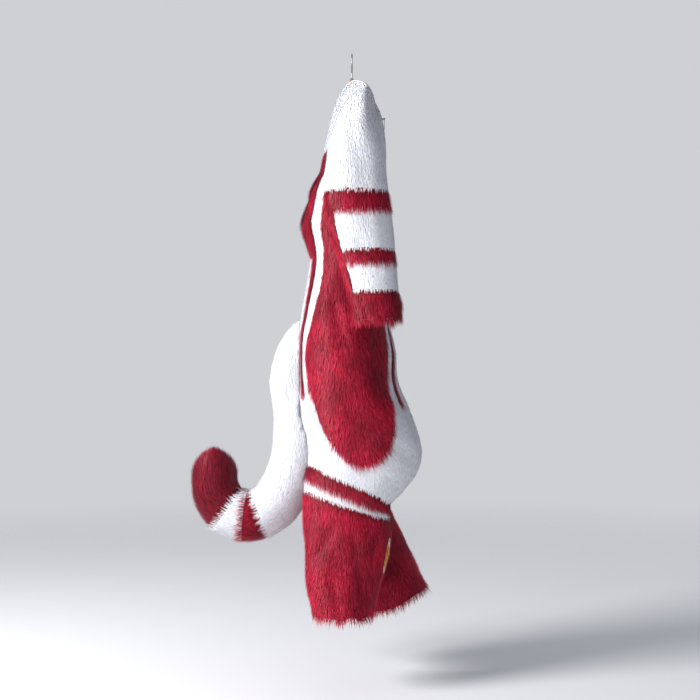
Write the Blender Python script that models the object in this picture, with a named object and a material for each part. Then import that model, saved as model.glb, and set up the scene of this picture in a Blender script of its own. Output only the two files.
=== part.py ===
"""Fur body suit hanging on a wooden hanger, with its stuffed tail.

Metres, +Z up. The origin is the inside top of the hanger's hook. The wearer's front faces -Y
and the wearer's right is -X. Heights are given as drops below the hook, in millimetres.
The suit's backing is one surface of rings; each panel is a wall that stands on its own part
of that surface and reaches out to the tips of its pile.
"""

import math

import bmesh
import bpy
from mathutils import Vector

MM = 0.001
RIGHT, LEFT = -1, 1
SIDES = (("R", RIGHT), ("L", LEFT))

# How the pieces meet
SEAM_GAP = 0.3 * MM
WHITE_PILE = 8 * MM
RED_PILE = 11 * MM
PILE_IN_TABLES = 9 * MM
SHARPEST_MITRE = -0.6
STRAIGHT_MITRE = 0.97
HEM_FRINGE = 15 * MM
LEG_TUFT_LEVEL = 0.62
LEG_TUFT_SWING = 0.38
LEG_TUFT_TURNS = (2.7, 1.3)
LEG_TUFT_SHIFT = 0.8
CUFF_TUFT_LEVEL = 0.45
CUFF_TUFT_BACK = 0.40
CUFF_TUFT_SWING = 0.15
CUFF_TUFT_TURN = 2.3
SMOOTH_ANGLE = math.radians(50)

# Columns round half of the torso, from the centre front (0) to the centre back
FRONT_COLUMNS = 6
SIDE_COLUMNS = 8
BACK_COLUMNS = 6
PANEL_FRONT = FRONT_COLUMNS
PANEL_BACK = FRONT_COLUMNS + SIDE_COLUMNS
CENTRE_BACK = FRONT_COLUMNS + SIDE_COLUMNS + BACK_COLUMNS
INSEAM_COLUMNS = 8
LEG_COLUMNS = CENTRE_BACK + INSEAM_COLUMNS
FRONT_SHARES = (0.0, 0.20, 0.42, 0.62, 0.76, 0.88, 1.0)
BACK_SHARES = (0.0, 0.14, 0.28, 0.48, 0.66, 0.84, 1.0)
NECK_FRONT_COLUMN = 2
NECK_BACK_COLUMN = CENTRE_BACK - 2
STRIPE_FRONT = 3
STRIPE_BACK = PANEL_BACK + 2

# Shoulders and neck
NECK_HALF_WIDTH = 88 * MM
SHOULDER_HALF_WIDTH = 213 * MM
NECK_DROP = 96 * MM
SHOULDER_DROP = 131 * MM
SHOULDER_FORWARD = 34 * MM
NECK_FRONT_DROP = 142 * MM
NECK_FRONT_REACH = 62 * MM
NECK_BACK_DROP = 100 * MM
NECK_BACK_REACH = 16 * MM
YOKE_ROWS = 6
# Between the top line and the armpit's ring: how far the bend lies towards the ring
YOKE_BEND_OUT = 0.30
YOKE_BEND_FRONT = 0.98
YOKE_BEND_BACK = 0.58
YOKE_BEND_EASE = 4
YOKE_BEND_DOWN = 0.20
SLEEVE_COLUMNS = 2 * YOKE_ROWS + SIDE_COLUMNS
SLEEVE_BEND_OUT = 0.85
SLEEVE_BEND_DEEP = 0.55
SLEEVE_BEND_DOWN = 0.12

# Rings of the torso from the armpit to the crotch: sizes over the pile, in mm. Front and back
# are distances from the hook's plane, panel_front and panel_back the side panel's edges.
TORSO_COLUMNS = ("drop", "half_width", "front", "back", "panel_front", "panel_back")
TORSO_ROWS = (
    (330, 197, 96, 88, 66, 56),
    (372, 200, 100, 112, 70, 66),
    (418, 204, 103, 124, 70, 74),
    (460, 204, 104, 133, 70, 78),
    (505, 201, 104, 126, 72, 76),
    (550, 197, 103, 117, 72, 72),
    (600, 194, 102, 121, 74, 76),
    (650, 193, 101, 130, 76, 86),
    (710, 194, 103, 140, 82, 104),
    (755, 197, 110, 144, 88, 115),
    (800, 200, 121, 144, 93, 122),
)
TORSO_SQUARENESS = 2.35
CROTCH_LINE_DROP = TORSO_ROWS[-1][0] * MM
CROTCH_DROP = 836 * MM
CROTCH_ROUNDNESS = 0.7
BACK_STRIPE_TOP = 540

# Rings of each leg, over the pile, in mm. Reach is to the front, back to the back.
LEG_SQUARENESS = 2.15
LEG_COLUMN_EVENNESS = 0.55
LEG_TABLE = ("drop", "centre", "half_width", "front", "back")
LEG_ROWS = {
    "R": (
        (800, 103, 97, 121, 142),
        (880, 105, 96, 132, 141),
        (960, 107, 94, 158, 136),
        (1046, 109, 92, 181, 117),
        (1090, 109, 91, 183, 117),
        (1130, 108, 88, 163, 125),
        (1172, 107, 83, 126, 128),
        (1200, 107, 79, 101, 128),
        (1230, 107, 78, 100, 128),
        (1265, 108, 79, 102, 127),
        (1344, 111, 82, 90, 123),
        (1422, 114, 84, 68, 115),
        (1485, 116, 84, 58, 104),
    ),
    "L": (
        (800, 103, 97, 121, 142),
        (880, 105, 96, 130, 140),
        (960, 107, 94, 154, 132),
        (1046, 109, 92, 178, 112),
        (1090, 109, 91, 181, 108),
        (1130, 108, 88, 163, 108),
        (1172, 107, 83, 130, 106),
        (1210, 107, 79, 107, 104),
        (1243, 107, 78, 109, 98),
        (1300, 109, 80, 134, 82),
        (1383, 112, 83, 171, 54),
        (1440, 114, 85, 206, 30),
        (1495, 116, 84, 214, 16),
    ),
}
# Rows down each leg: drop, tilt and dip. The tilt is how much lower the row lies at the front
# than at mid depth, and the dip how much lower it lies below the middle of the side panel.
LEG_ROW_LINES = (
    (800, 0, 0),
    (838, 0, 34),
    (876, 0, 68),
    (912, 0, 104),
    (948, -8, 140),
    (996, 6, 106),
    (1045, 20, 72),
    (1094, 35, 36),
    (1143, 50, 0),
    (1171, 46, 0),
    (1197, 38, 0),
    (1252, 26, 0),
    (1310, 16, 0),
    (1368, 8, 0),
    (1426, 3, 0),
    (1484, 0, 0),
)
PANEL_END_LINE = 4
BAND_TOP_LINE = 8
BAND_END_LINE = 9
RING_END_LINE = 10
HEM_LINE = len(LEG_ROW_LINES) - 1
PANEL_TIP_ROUNDNESS = 0.75
INSEAM_DIP = 22 * MM
INNER_GAP = 15 * MM
SPREAD_START = 850 * MM
SPREAD_LENGTH = 170 * MM
LEFT_HEM_FALL = 20 * MM
LEFT_HEM_TILT = 24 * MM
LEFT_FRONT_LIFT = 28 * MM

# Rings of a sleeve, over the pile, in mm
SLEEVE_SQUARENESS = 2.2
SLEEVE_TABLE = ("drop", "centre", "half_width", "front", "back")
SLEEVE_ROWS = (
    (400, 273, 47, 93, 74),
    (445, 272, 47, 99, 66),
    (495, 273, 46, 105, 56),
    (545, 273, 46, 111, 43),
    (575, 273, 45, 114, 34),
    (611, 273, 45, 117, 24),
    (647, 273, 45, 119, 14),
    (684, 273, 46, 124, 3),
    (721, 273, 47, 126, 1),
)
CAP_ROWS = 4
BAND_ONE = (4, 5)
BAND_TWO = (7, 8)
CUFF_TOP = 10
CUFF_END = CAP_ROWS + len(SLEEVE_ROWS) - 1
UNDER_FIRST = 9
UNDER_LAST = 17

# Folds: the way the surface faces, where both ends lie, the width and the depth, in mm. Ridges
# have positive depths. Columns: zone, drop_1, across_1, drop_2, across_2, width, depth
FOLD_FACING_SCALE = 1.6
FOLD_FACING_START = 0.2
FOLD_END = 0.04
FOLDS = (
    ("back", 398, -70, 470, 80, 26, -9),
    ("back", 452, -150, 478, 30, 34, 6),
    ("back", 520, -60, 560, 120, 30, -7),
    ("back", 640, 20, 700, 150, 28, -6),
    ("front", 300, -60, 620, -90, 34, -8),
    ("front", 320, 70, 640, 40, 36, -9),
    ("front", 560, -120, 700, 0, 30, 5),
    ("side_R", 560, -40, 700, 60, 26, -5),
    ("side_R", 830, 60, 980, -20, 30, -5),
    ("side_L", 520, 40, 690, -50, 28, -6),
    ("side_R", 1270, 60, 1400, 10, 28, -7),
    ("side_R", 1330, -20, 1450, -30, 30, -6),
    ("side_L", 1260, -50, 1420, 0, 28, -7),
    ("side_L", 1380, -120, 1470, -90, 30, 6),
)

# Tail: its centre line in the middle plane, in mm behind the hook and below it, and its radius
# Columns: back, drop, radius
TAIL_ROWS = (
    (105, 735, 42),
    (140, 790, 60),
    (158, 870, 66),
    (152, 940, 65),
    (148, 1010, 65),
    (152, 1075, 66),
    (168, 1140, 69),
    (200, 1202, 73),
    (245, 1235, 74),
    (290, 1241, 74),
    (333, 1226, 72),
    (360, 1192, 70),
    (370, 1158, 67),
    (371, 1130, 65),
)
TAIL_SIDES = 16
TAIL_STEPS = 25
TAIL_WIDTH_SHARE = 0.92
TAIL_END_TURNS = (0.30, 0.62, 0.86)
TAIL_AIM_STEP = 0.01
TAIL_PIECES = (
    ("tail_base", 0.0, 0.617, "white"),
    ("tail_ring_red", 0.617, 0.692, "red"),
    ("tail_ring_white", 0.692, 0.772, "white"),
    ("tail_tip", 0.772, 1.0, "red"),
)
TAIL_SEAT_GAP = 0.7 * MM
TAIL_CUT_DEPTH = 20 * MM
CENTRE_SEAT_MARGIN = 1.0 * MM
SEAT_FIRST_ROW = 5

# Shin patches: an oval on each lower leg, made from the leg's own surface
PATCH_LINES = (11, 13)
PATCH_COLUMNS = (1, 3)
PATCH_THICKNESS = 1.5 * MM
PATCH_STAND_OFF = 0.4 * MM
PATCH_SIDES = 16
PATCH_RINGS = (0.5, 1.0)
PATCH_HALF_HEIGHT = 0.44
PATCH_HALF_WIDTH = 0.36

# Zip down the centre front
CHANNEL_WIDTH = 11 * MM
CHAIN_WIDTH = 10 * MM
CHAIN_THICKNESS = 2.4 * MM
CHAIN_TOP_MARGIN = 4 * MM
CHAIN_END_MARGIN = 2 * MM
CHAIN_TIP_WIDTH = 1.4 * MM
CHAIN_TIP_SHARE = 0.8
CHAIN_STEPS = 26
SLIDER_WIDTH = 8 * MM
SLIDER_LENGTH = 13 * MM
SLIDER_THICKNESS = 2.5 * MM
EAR_THICKNESS = 1.2 * MM
EAR_GAP = 4.6 * MM
EAR_HEIGHT = 4.4 * MM
EAR_OVER_PIN = 0.8 * MM
PIN_RADIUS = 1.0 * MM
PIN_STAND_OFF = 13 * MM
EYE_INNER_RADIUS = 1.3 * MM
EYE_OUTER_RADIUS = 2.6 * MM
PULL_LENGTH = 25 * MM
PULL_NECK = 4.6 * MM
PULL_WIDTH = 7.5 * MM
PULL_THICKNESS = 1.4 * MM
SLIDER_DROP = 176 * MM

# Hanger
HOOK_WIRE = 3.6 * MM
HOOK_RADIUS = 19 * MM
HOOK_FIRST_TURN = math.radians(-62)
HOOK_TURN_STEP = math.radians(18.5)
HOOK_TURNS = 15
HOOK_STEPS = 44
STEM_FOOT_DROP = 78 * MM
STEM_BEND_DROP = 55 * MM
STEM_BEND_HEIGHT = 8 * MM
STEM_BEND_REACH = 1 * MM
WOOD_HEIGHT = 26 * MM
WOOD_THICKNESS = 13 * MM
WOOD_ARM_TOP = 90.3 * MM
WOOD_NECK_RISE = 29.3 * MM
WOOD_NECK_REACH = 75 * MM
WOOD_TIP_X = 204 * MM
WOOD_CLEARANCE = 3.3 * MM
WOOD_STEPS = 28
WOOD_SIDES = 12
WOOD_TAPER = 0.35
WOOD_TAPER_POWER = 4
WOOD_ROUNDNESS = 0.75
SLOPE_POWER = 1.3

COLOURS = {
    "white": ((0.86, 0.86, 0.88, 1), 0.85, 0.0),
    "red": ((0.50, 0.012, 0.045, 1), 0.8, 0.0),
    "yellow": ((0.85, 0.60, 0.10, 1), 0.8, 0.0),
    "wood": ((0.58, 0.37, 0.20, 1), 0.45, 0.0),
    "steel": ((0.75, 0.75, 0.76, 1), 0.25, 1.0),
    "zip": ((0.80, 0.80, 0.82, 1), 0.6, 0.0),
}


def clear_scene():
    for old in list(bpy.data.objects):
        bpy.data.objects.remove(old, do_unlink=True)


def material(name):
    made = bpy.data.materials.get(name)
    if made:
        return made
    colour, roughness, metallic = COLOURS[name]
    made = bpy.data.materials.new(name)
    made.use_nodes = True
    shader = made.node_tree.nodes["Principled BSDF"]
    shader.inputs["Base Color"].default_value = colour
    shader.inputs["Roughness"].default_value = roughness
    shader.inputs["Metallic"].default_value = metallic
    made.diffuse_color = colour
    return made


def object_from(name, points, faces, colour):
    mesh = bpy.data.meshes.new(name)
    mesh.from_pydata([tuple(point) for point in points], [], faces)
    mesh.update()
    made = bpy.data.objects.new(name, mesh)
    bpy.context.scene.collection.objects.link(made)
    mesh.materials.append(material(colour))
    mesh.shade_smooth()
    mesh.set_sharp_from_angle(angle=SMOOTH_ANGLE)
    return made


def smooth(value):
    value = min(max(value, 0.0), 1.0)
    return value * value * (3 - 2 * value)


def read_table(rows, columns, drop):
    """The row at this drop, eased between the table's rows, as a dictionary in metres."""
    drop_mm = drop / MM
    last = len(rows) - 1
    index = 0
    while index < last - 1 and rows[index + 1][0] < drop_mm:
        index += 1
    low, high = rows[index], rows[index + 1]
    share = (drop_mm - low[0]) / (high[0] - low[0])
    share = min(max(share, 0.0), 1.0)
    before = rows[max(index - 1, 0)]
    after = rows[min(index + 2, last)]
    row = {"drop": drop}
    for place, name in enumerate(columns[1:], start=1):
        slope_low = (high[place] - before[place]) / (high[0] - before[0])
        slope_high = (after[place] - low[place]) / (after[0] - low[0])
        step = high[0] - low[0]
        square, cube = share**2, share**3
        value = (2 * cube - 3 * square + 1) * low[place] + (3 * square - 2 * cube) * high[place]
        value += (cube - 2 * square + share) * step * slope_low
        value += (cube - square) * step * slope_high
        row[name] = value * MM
    return row


def oval(angle, half_width, half_depth, squareness):
    """A point of a rounded oval: sideways distance and depth, angle 0 at the front."""
    power = 2 / squareness
    across = math.copysign(abs(math.sin(angle)) ** power, math.sin(angle)) * half_width
    depth = -math.copysign(abs(math.cos(angle)) ** power, math.cos(angle)) * half_depth
    return across, depth


def torso_angles(row):
    """The angle of each column on a torso ring, from the centre front to the centre back."""
    middle = (row["back"] - row["front"]) / 2
    half_depth = (row["back"] + row["front"]) / 2
    front_cosine = ((row["panel_front"] + middle) / half_depth) ** (TORSO_SQUARENESS / 2)
    back_cosine = ((row["panel_back"] - middle) / half_depth) ** (TORSO_SQUARENESS / 2)
    front_edge = math.acos(front_cosine)
    back_edge = math.pi - math.acos(back_cosine)
    angles = [front_edge * share for share in FRONT_SHARES]
    for column in range(1, SIDE_COLUMNS):
        angles.append(front_edge + (back_edge - front_edge) * column / SIDE_COLUMNS)
    angles += [back_edge + (math.pi - back_edge) * share for share in BACK_SHARES]
    return angles


def torso_point(side, drop, column):
    row = read_table(TORSO_ROWS, TORSO_COLUMNS, drop)
    angle = torso_angles(row)[column]
    middle = (row["back"] - row["front"]) / 2
    half_depth = (row["back"] + row["front"]) / 2 - PILE_IN_TABLES
    across, depth = oval(angle, row["half_width"] - PILE_IN_TABLES, half_depth, TORSO_SQUARENESS)
    if column in (0, CENTRE_BACK):
        across = 0.0
    return Vector((side * across, middle + depth, -drop))


def top_line_point(side, column):
    """A point of the neck edge or of the shoulder seam."""
    if column < NECK_FRONT_COLUMN:
        turn = math.pi / 2 * column / NECK_FRONT_COLUMN
        across = NECK_HALF_WIDTH * math.sin(turn)
        fall = math.cos(turn)
        drop = NECK_DROP + (NECK_FRONT_DROP - NECK_DROP) * fall
        return Vector((side * across, -NECK_FRONT_REACH * fall, -drop))
    if column > NECK_BACK_COLUMN:
        turn = math.pi / 2 * (CENTRE_BACK - column) / (CENTRE_BACK - NECK_BACK_COLUMN)
        across = NECK_HALF_WIDTH * math.sin(turn)
        fall = math.cos(turn)
        drop = NECK_DROP + (NECK_BACK_DROP - NECK_DROP) * fall
        return Vector((side * across, NECK_BACK_REACH * fall, -drop))
    if column > CENTRE_BACK / 2:
        column = CENTRE_BACK - column
    share = (column - NECK_FRONT_COLUMN) / (PANEL_FRONT - NECK_FRONT_COLUMN)
    across = NECK_HALF_WIDTH + (SHOULDER_HALF_WIDTH - NECK_HALF_WIDTH) * share
    drop = NECK_DROP + (SHOULDER_DROP - NECK_DROP) * share**1.5
    return Vector((side * across, -SHOULDER_FORWARD * share**SLOPE_POWER, -drop))


def bent_path(start, end, bend_shares, share):
    """A point between start and end, on a curve drawn towards a bend between them."""
    bend = Vector([a + (b - a) * part for a, b, part in zip(start, end, bend_shares)])
    return start * (1 - share) ** 2 + bend * (2 * share * (1 - share)) + end * share**2


def yoke_point(side, row, column):
    """Above the armpit: a rounded path from the top line down to the armpit's ring."""
    start = top_line_point(side, column)
    end = torso_point(side, TORSO_ROWS[0][0] * MM, column)
    ease = smooth((column - PANEL_BACK) / YOKE_BEND_EASE)
    deep = YOKE_BEND_FRONT + (YOKE_BEND_BACK - YOKE_BEND_FRONT) * ease
    return bent_path(start, end, (YOKE_BEND_OUT, deep, YOKE_BEND_DOWN), row / YOKE_ROWS)


def crotch_point(number):
    """Points of the crotch seam, from the centre back (0) to the centre front."""
    share = number / INSEAM_COLUMNS
    back = torso_point(RIGHT, CROTCH_LINE_DROP, CENTRE_BACK)
    front = torso_point(RIGHT, CROTCH_LINE_DROP, 0)
    turn = math.pi * share
    middle = (back + front) / 2
    depth = (back.y - front.y) / 2 * math.cos(turn)
    fall = (CROTCH_DROP + back.z) * math.sin(turn) ** CROTCH_ROUNDNESS
    return Vector((0, middle.y + depth, back.z - fall))


def leg_angle(column):
    if column <= CENTRE_BACK:
        angles = torso_angles(read_table(TORSO_ROWS, TORSO_COLUMNS, CROTCH_LINE_DROP))
        even = math.pi * column / CENTRE_BACK
        return angles[column] * (1 - LEG_COLUMN_EVENNESS) + even * LEG_COLUMN_EVENNESS
    return math.pi * (1 + (column - CENTRE_BACK) / INSEAM_COLUMNS)


def leg_line_drop(letter, line, column):
    """How far down a leg's row lies at this column."""
    drop, tilt, dip = LEG_ROW_LINES[line]
    angle = leg_angle(column)
    frontness = math.cos(angle)
    low = 0.0
    if PANEL_FRONT < column < PANEL_BACK:
        across = (column - PANEL_FRONT) / SIDE_COLUMNS
        low = dip * math.sin(math.pi * across) ** PANEL_TIP_ROUNDNESS
    drop = (drop + tilt * frontness + low) * MM
    if column > CENTRE_BACK and 0 < line < PANEL_END_LINE:
        drop += INSEAM_DIP * math.sin(math.pi * (column - CENTRE_BACK) / INSEAM_COLUMNS)
    if letter == "L" and line > RING_END_LINE:
        progress = (line - RING_END_LINE) / (HEM_LINE - RING_END_LINE)
        lift = LEFT_HEM_TILT * frontness + LEFT_FRONT_LIFT * max(frontness, 0.0) ** 2
        drop += progress * (LEFT_HEM_FALL - lift)
    return drop


def leg_point(letter, side, line, column):
    column %= LEG_COLUMNS
    if line == 0 and column <= CENTRE_BACK:
        return torso_point(side, CROTCH_LINE_DROP, column)
    if line == 0:
        return crotch_point(column - CENTRE_BACK)
    drop = leg_line_drop(letter, line, column)
    row = read_table(LEG_ROWS[letter], LEG_TABLE, drop)
    middle = (row["back"] - row["front"]) / 2
    half_depth = (row["back"] + row["front"]) / 2 - PILE_IN_TABLES
    half_width = row["half_width"] - PILE_IN_TABLES
    across, depth = oval(leg_angle(column), half_width, half_depth, LEG_SQUARENESS)
    round_point = Vector((side * (row["centre"] + across), middle + depth, -drop))
    if column <= CENTRE_BACK:
        split = torso_point(side, CROTCH_LINE_DROP, column)
        split.x = side * max(abs(split.x), INNER_GAP)
    else:
        split = crotch_point(column - CENTRE_BACK)
        split.x = side * INNER_GAP
    split.z = -drop
    spread = smooth((drop - SPREAD_START) / SPREAD_LENGTH)
    point = split.lerp(round_point, spread)
    deepen = smooth((drop - CROTCH_LINE_DROP) / SPREAD_LENGTH)
    point.y = split.y + (round_point.y - split.y) * deepen
    return point


def armhole_loop(side):
    """Keys of the armhole's points: down its front, along the armpit, up its back."""
    front = [("torso", side, row, PANEL_FRONT) for row in range(YOKE_ROWS)]
    under = [("torso", side, YOKE_ROWS, column) for column in range(PANEL_FRONT, PANEL_BACK + 1)]
    back = [("torso", side, row, PANEL_BACK) for row in range(YOKE_ROWS - 1, 0, -1)]
    return front + under + back


def sleeve_ring_point(side, drop, column):
    row = read_table(SLEEVE_ROWS, SLEEVE_TABLE, drop)
    turn = 2 * math.pi * column / SLEEVE_COLUMNS
    middle = (row["back"] - row["front"]) / 2
    half_depth = (row["back"] + row["front"]) / 2 - PILE_IN_TABLES
    half_width = row["half_width"] - PILE_IN_TABLES
    across, depth = oval(turn, half_depth, half_width, SLEEVE_SQUARENESS)
    return Vector((side * (row["centre"] - depth), middle - across, -drop))


def sleeve_point(side, row, column, start):
    if row > CAP_ROWS:
        return sleeve_ring_point(side, SLEEVE_ROWS[row - CAP_ROWS][0] * MM, column)
    end = sleeve_ring_point(side, SLEEVE_ROWS[0][0] * MM, column)
    bend_shares = (SLEEVE_BEND_OUT, SLEEVE_BEND_DEEP, SLEEVE_BEND_DOWN)
    return bent_path(start, end, bend_shares, row / CAP_ROWS)


def fold_shift(point, normal):
    """How far the folds move this point along its normal."""
    shift = 0.0
    for zone, drop_1, across_1, drop_2, across_2, width, depth in FOLDS:
        facing = {"back": normal.y, "front": -normal.y, "side_R": -normal.x, "side_L": normal.x}
        strength = smooth(facing[zone] * FOLD_FACING_SCALE - FOLD_FACING_START)
        if strength <= 0:
            continue
        along = point.x if zone in ("back", "front") else point.y
        spot = Vector((along / MM, -point.z / MM))
        start = Vector((across_1, drop_1))
        line = Vector((across_2, drop_2)) - start
        share = min(max((spot - start).dot(line) / line.length_squared, 0.0), 1.0)
        distance = (spot - start - line * share).length
        ends = math.sin(math.pi * min(max(share, FOLD_END), 1 - FOLD_END)) ** 0.5
        shift += strength * depth * MM * ends * math.exp(-((distance / width) ** 2))
    return shift


class Suit:
    """The backing surface: shared points, and faces that each belong to a panel."""

    def __init__(self):
        self.index = {}
        self.points = []
        self.faces = []
        self.panels = []
        self.fringe = {}

    def key(self, key):
        kind, side, row, column = key
        if kind == "leg" and row == 0:
            column %= LEG_COLUMNS
            if column <= CENTRE_BACK:
                kind, row = "torso", YOKE_ROWS + len(TORSO_ROWS) - 1
            else:
                return ("crotch", 0, 0, column)
        if kind == "leg":
            column %= LEG_COLUMNS
        if kind == "sleeve":
            column %= SLEEVE_COLUMNS
            if row == 0:
                return self.key(armhole_loop(side)[column])
        if kind == "torso":
            seam = NECK_FRONT_COLUMN <= CENTRE_BACK - column <= PANEL_FRONT
            if row == 0 and seam:
                column = CENTRE_BACK - column
            if column in (0, CENTRE_BACK):
                side = 0
        return (kind, side, row, column)

    def point(self, key, place):
        key = self.key(key)
        if key not in self.index:
            self.index[key] = len(self.points)
            self.points.append(place())
        return self.index[key]

    def add(self, panel, corners, outward_turn):
        self.faces.append(corners if outward_turn else corners[::-1])
        self.panels.append(panel)


def torso_panel_of(letter, row, column):
    """Which panel owns the torso face below this row and after this column."""
    drop = TORSO_ROWS[row - YOKE_ROWS][0] if row >= YOKE_ROWS else 0
    if column < PANEL_FRONT:
        stripe = row >= YOKE_ROWS and column == STRIPE_FRONT
        return f"front_stripe_{letter}" if stripe else f"front_{letter}"
    if column < PANEL_BACK:
        return f"side_panel_{letter}"
    if row < YOKE_ROWS - 1:
        return "back_shoulder"
    if drop < BACK_STRIPE_TOP and column >= STRIPE_BACK:
        return "back_yoke"
    if drop >= BACK_STRIPE_TOP and column == STRIPE_BACK:
        return f"back_stripe_{letter}"
    return f"back_{letter}"


def leg_panel_of(letter, line, column):
    if line >= RING_END_LINE:
        return f"lower_leg_{letter}"
    if line >= BAND_END_LINE:
        return f"knee_ring_{letter}"
    if line >= BAND_TOP_LINE:
        return f"knee_band_{letter}"
    if line < PANEL_END_LINE and PANEL_FRONT <= column < PANEL_BACK:
        return f"side_panel_{letter}"
    if line < PANEL_END_LINE and column == STRIPE_FRONT:
        return f"front_stripe_{letter}"
    if line < PANEL_END_LINE - 1 and column == STRIPE_BACK:
        return f"back_stripe_{letter}"
    side_seam = (PANEL_FRONT + PANEL_BACK) // 2
    inseam = CENTRE_BACK + INSEAM_COLUMNS // 2
    return f"back_{letter}" if side_seam <= column < inseam else f"front_{letter}"


def sleeve_panel_of(letter, row, column):
    if row >= CUFF_TOP:
        return f"cuff_{letter}"
    if row < BAND_ONE[0]:
        return f"sleeve_cap_{letter}"
    if UNDER_FIRST <= column < UNDER_LAST:
        return f"under_sleeve_{letter}"
    if row < BAND_ONE[1]:
        return f"sleeve_band_upper_{letter}"
    if row < BAND_TWO[0]:
        return f"sleeve_middle_{letter}"
    if row < BAND_TWO[1]:
        return f"sleeve_band_lower_{letter}"
    return f"forearm_{letter}"


def build_torso(suit, letter, side):
    rows = YOKE_ROWS + len(TORSO_ROWS) - 1

    def place(row, column):
        if row <= YOKE_ROWS:
            return suit.point(("torso", side, row, column), lambda: yoke_point(side, row, column))
        drop = TORSO_ROWS[row - YOKE_ROWS][0] * MM
        return suit.point(("torso", side, row, column), lambda: torso_point(side, drop, column))

    for row in range(rows):
        for column in range(CENTRE_BACK):
            if row < YOKE_ROWS and PANEL_FRONT <= column < PANEL_BACK:
                continue
            corners = [
                place(row, column),
                place(row + 1, column),
                place(row + 1, column + 1),
                place(row, column + 1),
            ]
            suit.add(torso_panel_of(letter, row, column), corners, side == LEFT)


def build_leg(suit, letter, side):
    def place(line, column):
        key = ("leg", side, line, column)
        return suit.point(key, lambda: leg_point(letter, side, line, column))

    for line in range(HEM_LINE):
        for column in range(LEG_COLUMNS):
            corners = [
                place(line, column),
                place(line + 1, column),
                place(line + 1, column + 1),
                place(line, column + 1),
            ]
            suit.add(leg_panel_of(letter, line, column), corners, side == LEFT)
    for column in range(LEG_COLUMNS):
        swing = math.sin(LEG_TUFT_TURNS[0] * column + LEG_TUFT_SHIFT * side)
        uneven = swing * math.cos(LEG_TUFT_TURNS[1] * column)
        tuft = LEG_TUFT_LEVEL + LEG_TUFT_SWING * uneven
        suit.fringe[place(HEM_LINE, column)] = HEM_FRINGE * tuft


def build_sleeve(suit, letter, side):
    loop = armhole_loop(side)

    def place(row, column):
        column %= SLEEVE_COLUMNS
        start = suit.points[suit.index[suit.key(loop[column])]]
        key = ("sleeve", side, row, column)
        return suit.point(key, lambda: sleeve_point(side, row, column, start))

    for row in range(CUFF_END):
        for column in range(SLEEVE_COLUMNS):
            corners = [
                place(row, column),
                place(row + 1, column),
                place(row + 1, column + 1),
                place(row, column + 1),
            ]
            suit.add(sleeve_panel_of(letter, row, column), corners, side == RIGHT)
    for column in range(SLEEVE_COLUMNS):
        backness = 0.5 - 0.5 * math.sin(2 * math.pi * column / SLEEVE_COLUMNS)
        tuft = CUFF_TUFT_LEVEL + CUFF_TUFT_BACK * backness
        tuft += CUFF_TUFT_SWING * math.sin(CUFF_TUFT_TURN * column)
        suit.fringe[place(CUFF_END, column)] = HEM_FRINGE * tuft


def face_normal(points, face):
    a, b, c, d = (points[corner] for corner in face)
    return (c - a).cross(d - b)


def point_normals(points, faces):
    normals = [Vector((0, 0, 0)) for _ in points]
    for face in faces:
        normal = face_normal(points, face).normalized()
        for corner in face:
            normals[corner] += normal
    return [normal.normalized() for normal in normals]


def crease_surface(suit):
    normals = point_normals(suit.points, suit.faces)
    seams = {key for key in suit.index if key[0] == "torso" and key[2] == 0}
    fixed = {suit.index[key] for key in seams}
    for number, normal in enumerate(normals):
        if number not in fixed:
            suit.points[number] = suit.points[number] + normal * fold_shift(
                suit.points[number], normal
            )


def edge_owners(suit):
    """For each edge, the panels on its two sides; an open edge has one."""
    owners = {}
    for number, face in enumerate(suit.faces):
        for start, end in zip(face, face[1:] + face[:1]):
            owners.setdefault(frozenset((start, end)), []).append(number)
    return owners


def inward_steps(suit, panel, owners, centre_points):
    """How each border point of a panel moves along the surface to open the seam."""
    steps = {}
    for edge, numbers in owners.items():
        mine = [number for number in numbers if suit.panels[number] == panel]
        if len(mine) != 1:
            continue
        start, end = sorted(edge)
        if len(numbers) == 1:
            gap = 0.0
        elif start in centre_points and end in centre_points:
            gap = CHANNEL_WIDTH / 2
        else:
            gap = SEAM_GAP / 2
        along = (suit.points[end] - suit.points[start]).normalized()
        normal = face_normal(suit.points, suit.faces[mine[0]]).normalized()
        inward = normal.cross(along)
        middle = sum((suit.points[corner] for corner in suit.faces[mine[0]]), Vector()) / 4
        if inward.dot(middle - suit.points[start]) < 0:
            inward = -inward
        for corner in (start, end):
            steps.setdefault(corner, []).append((inward, gap))
    moves = {}
    for corner, pairs in steps.items():
        if len(pairs) == 1:
            inward, gap = pairs[0]
            moves[corner] = inward * gap
            continue
        (first, gap_1), (second, gap_2) = pairs[0], pairs[-1]
        cosine = max(first.dot(second), SHARPEST_MITRE)
        if cosine > STRAIGHT_MITRE:
            moves[corner] = (first + second).normalized() * max(gap_1, gap_2)
            continue
        share = 1 - cosine**2
        moves[corner] = (
            first * (gap_1 - gap_2 * cosine) / share + second * (gap_2 - gap_1 * cosine) / share
        )
    return moves


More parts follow.
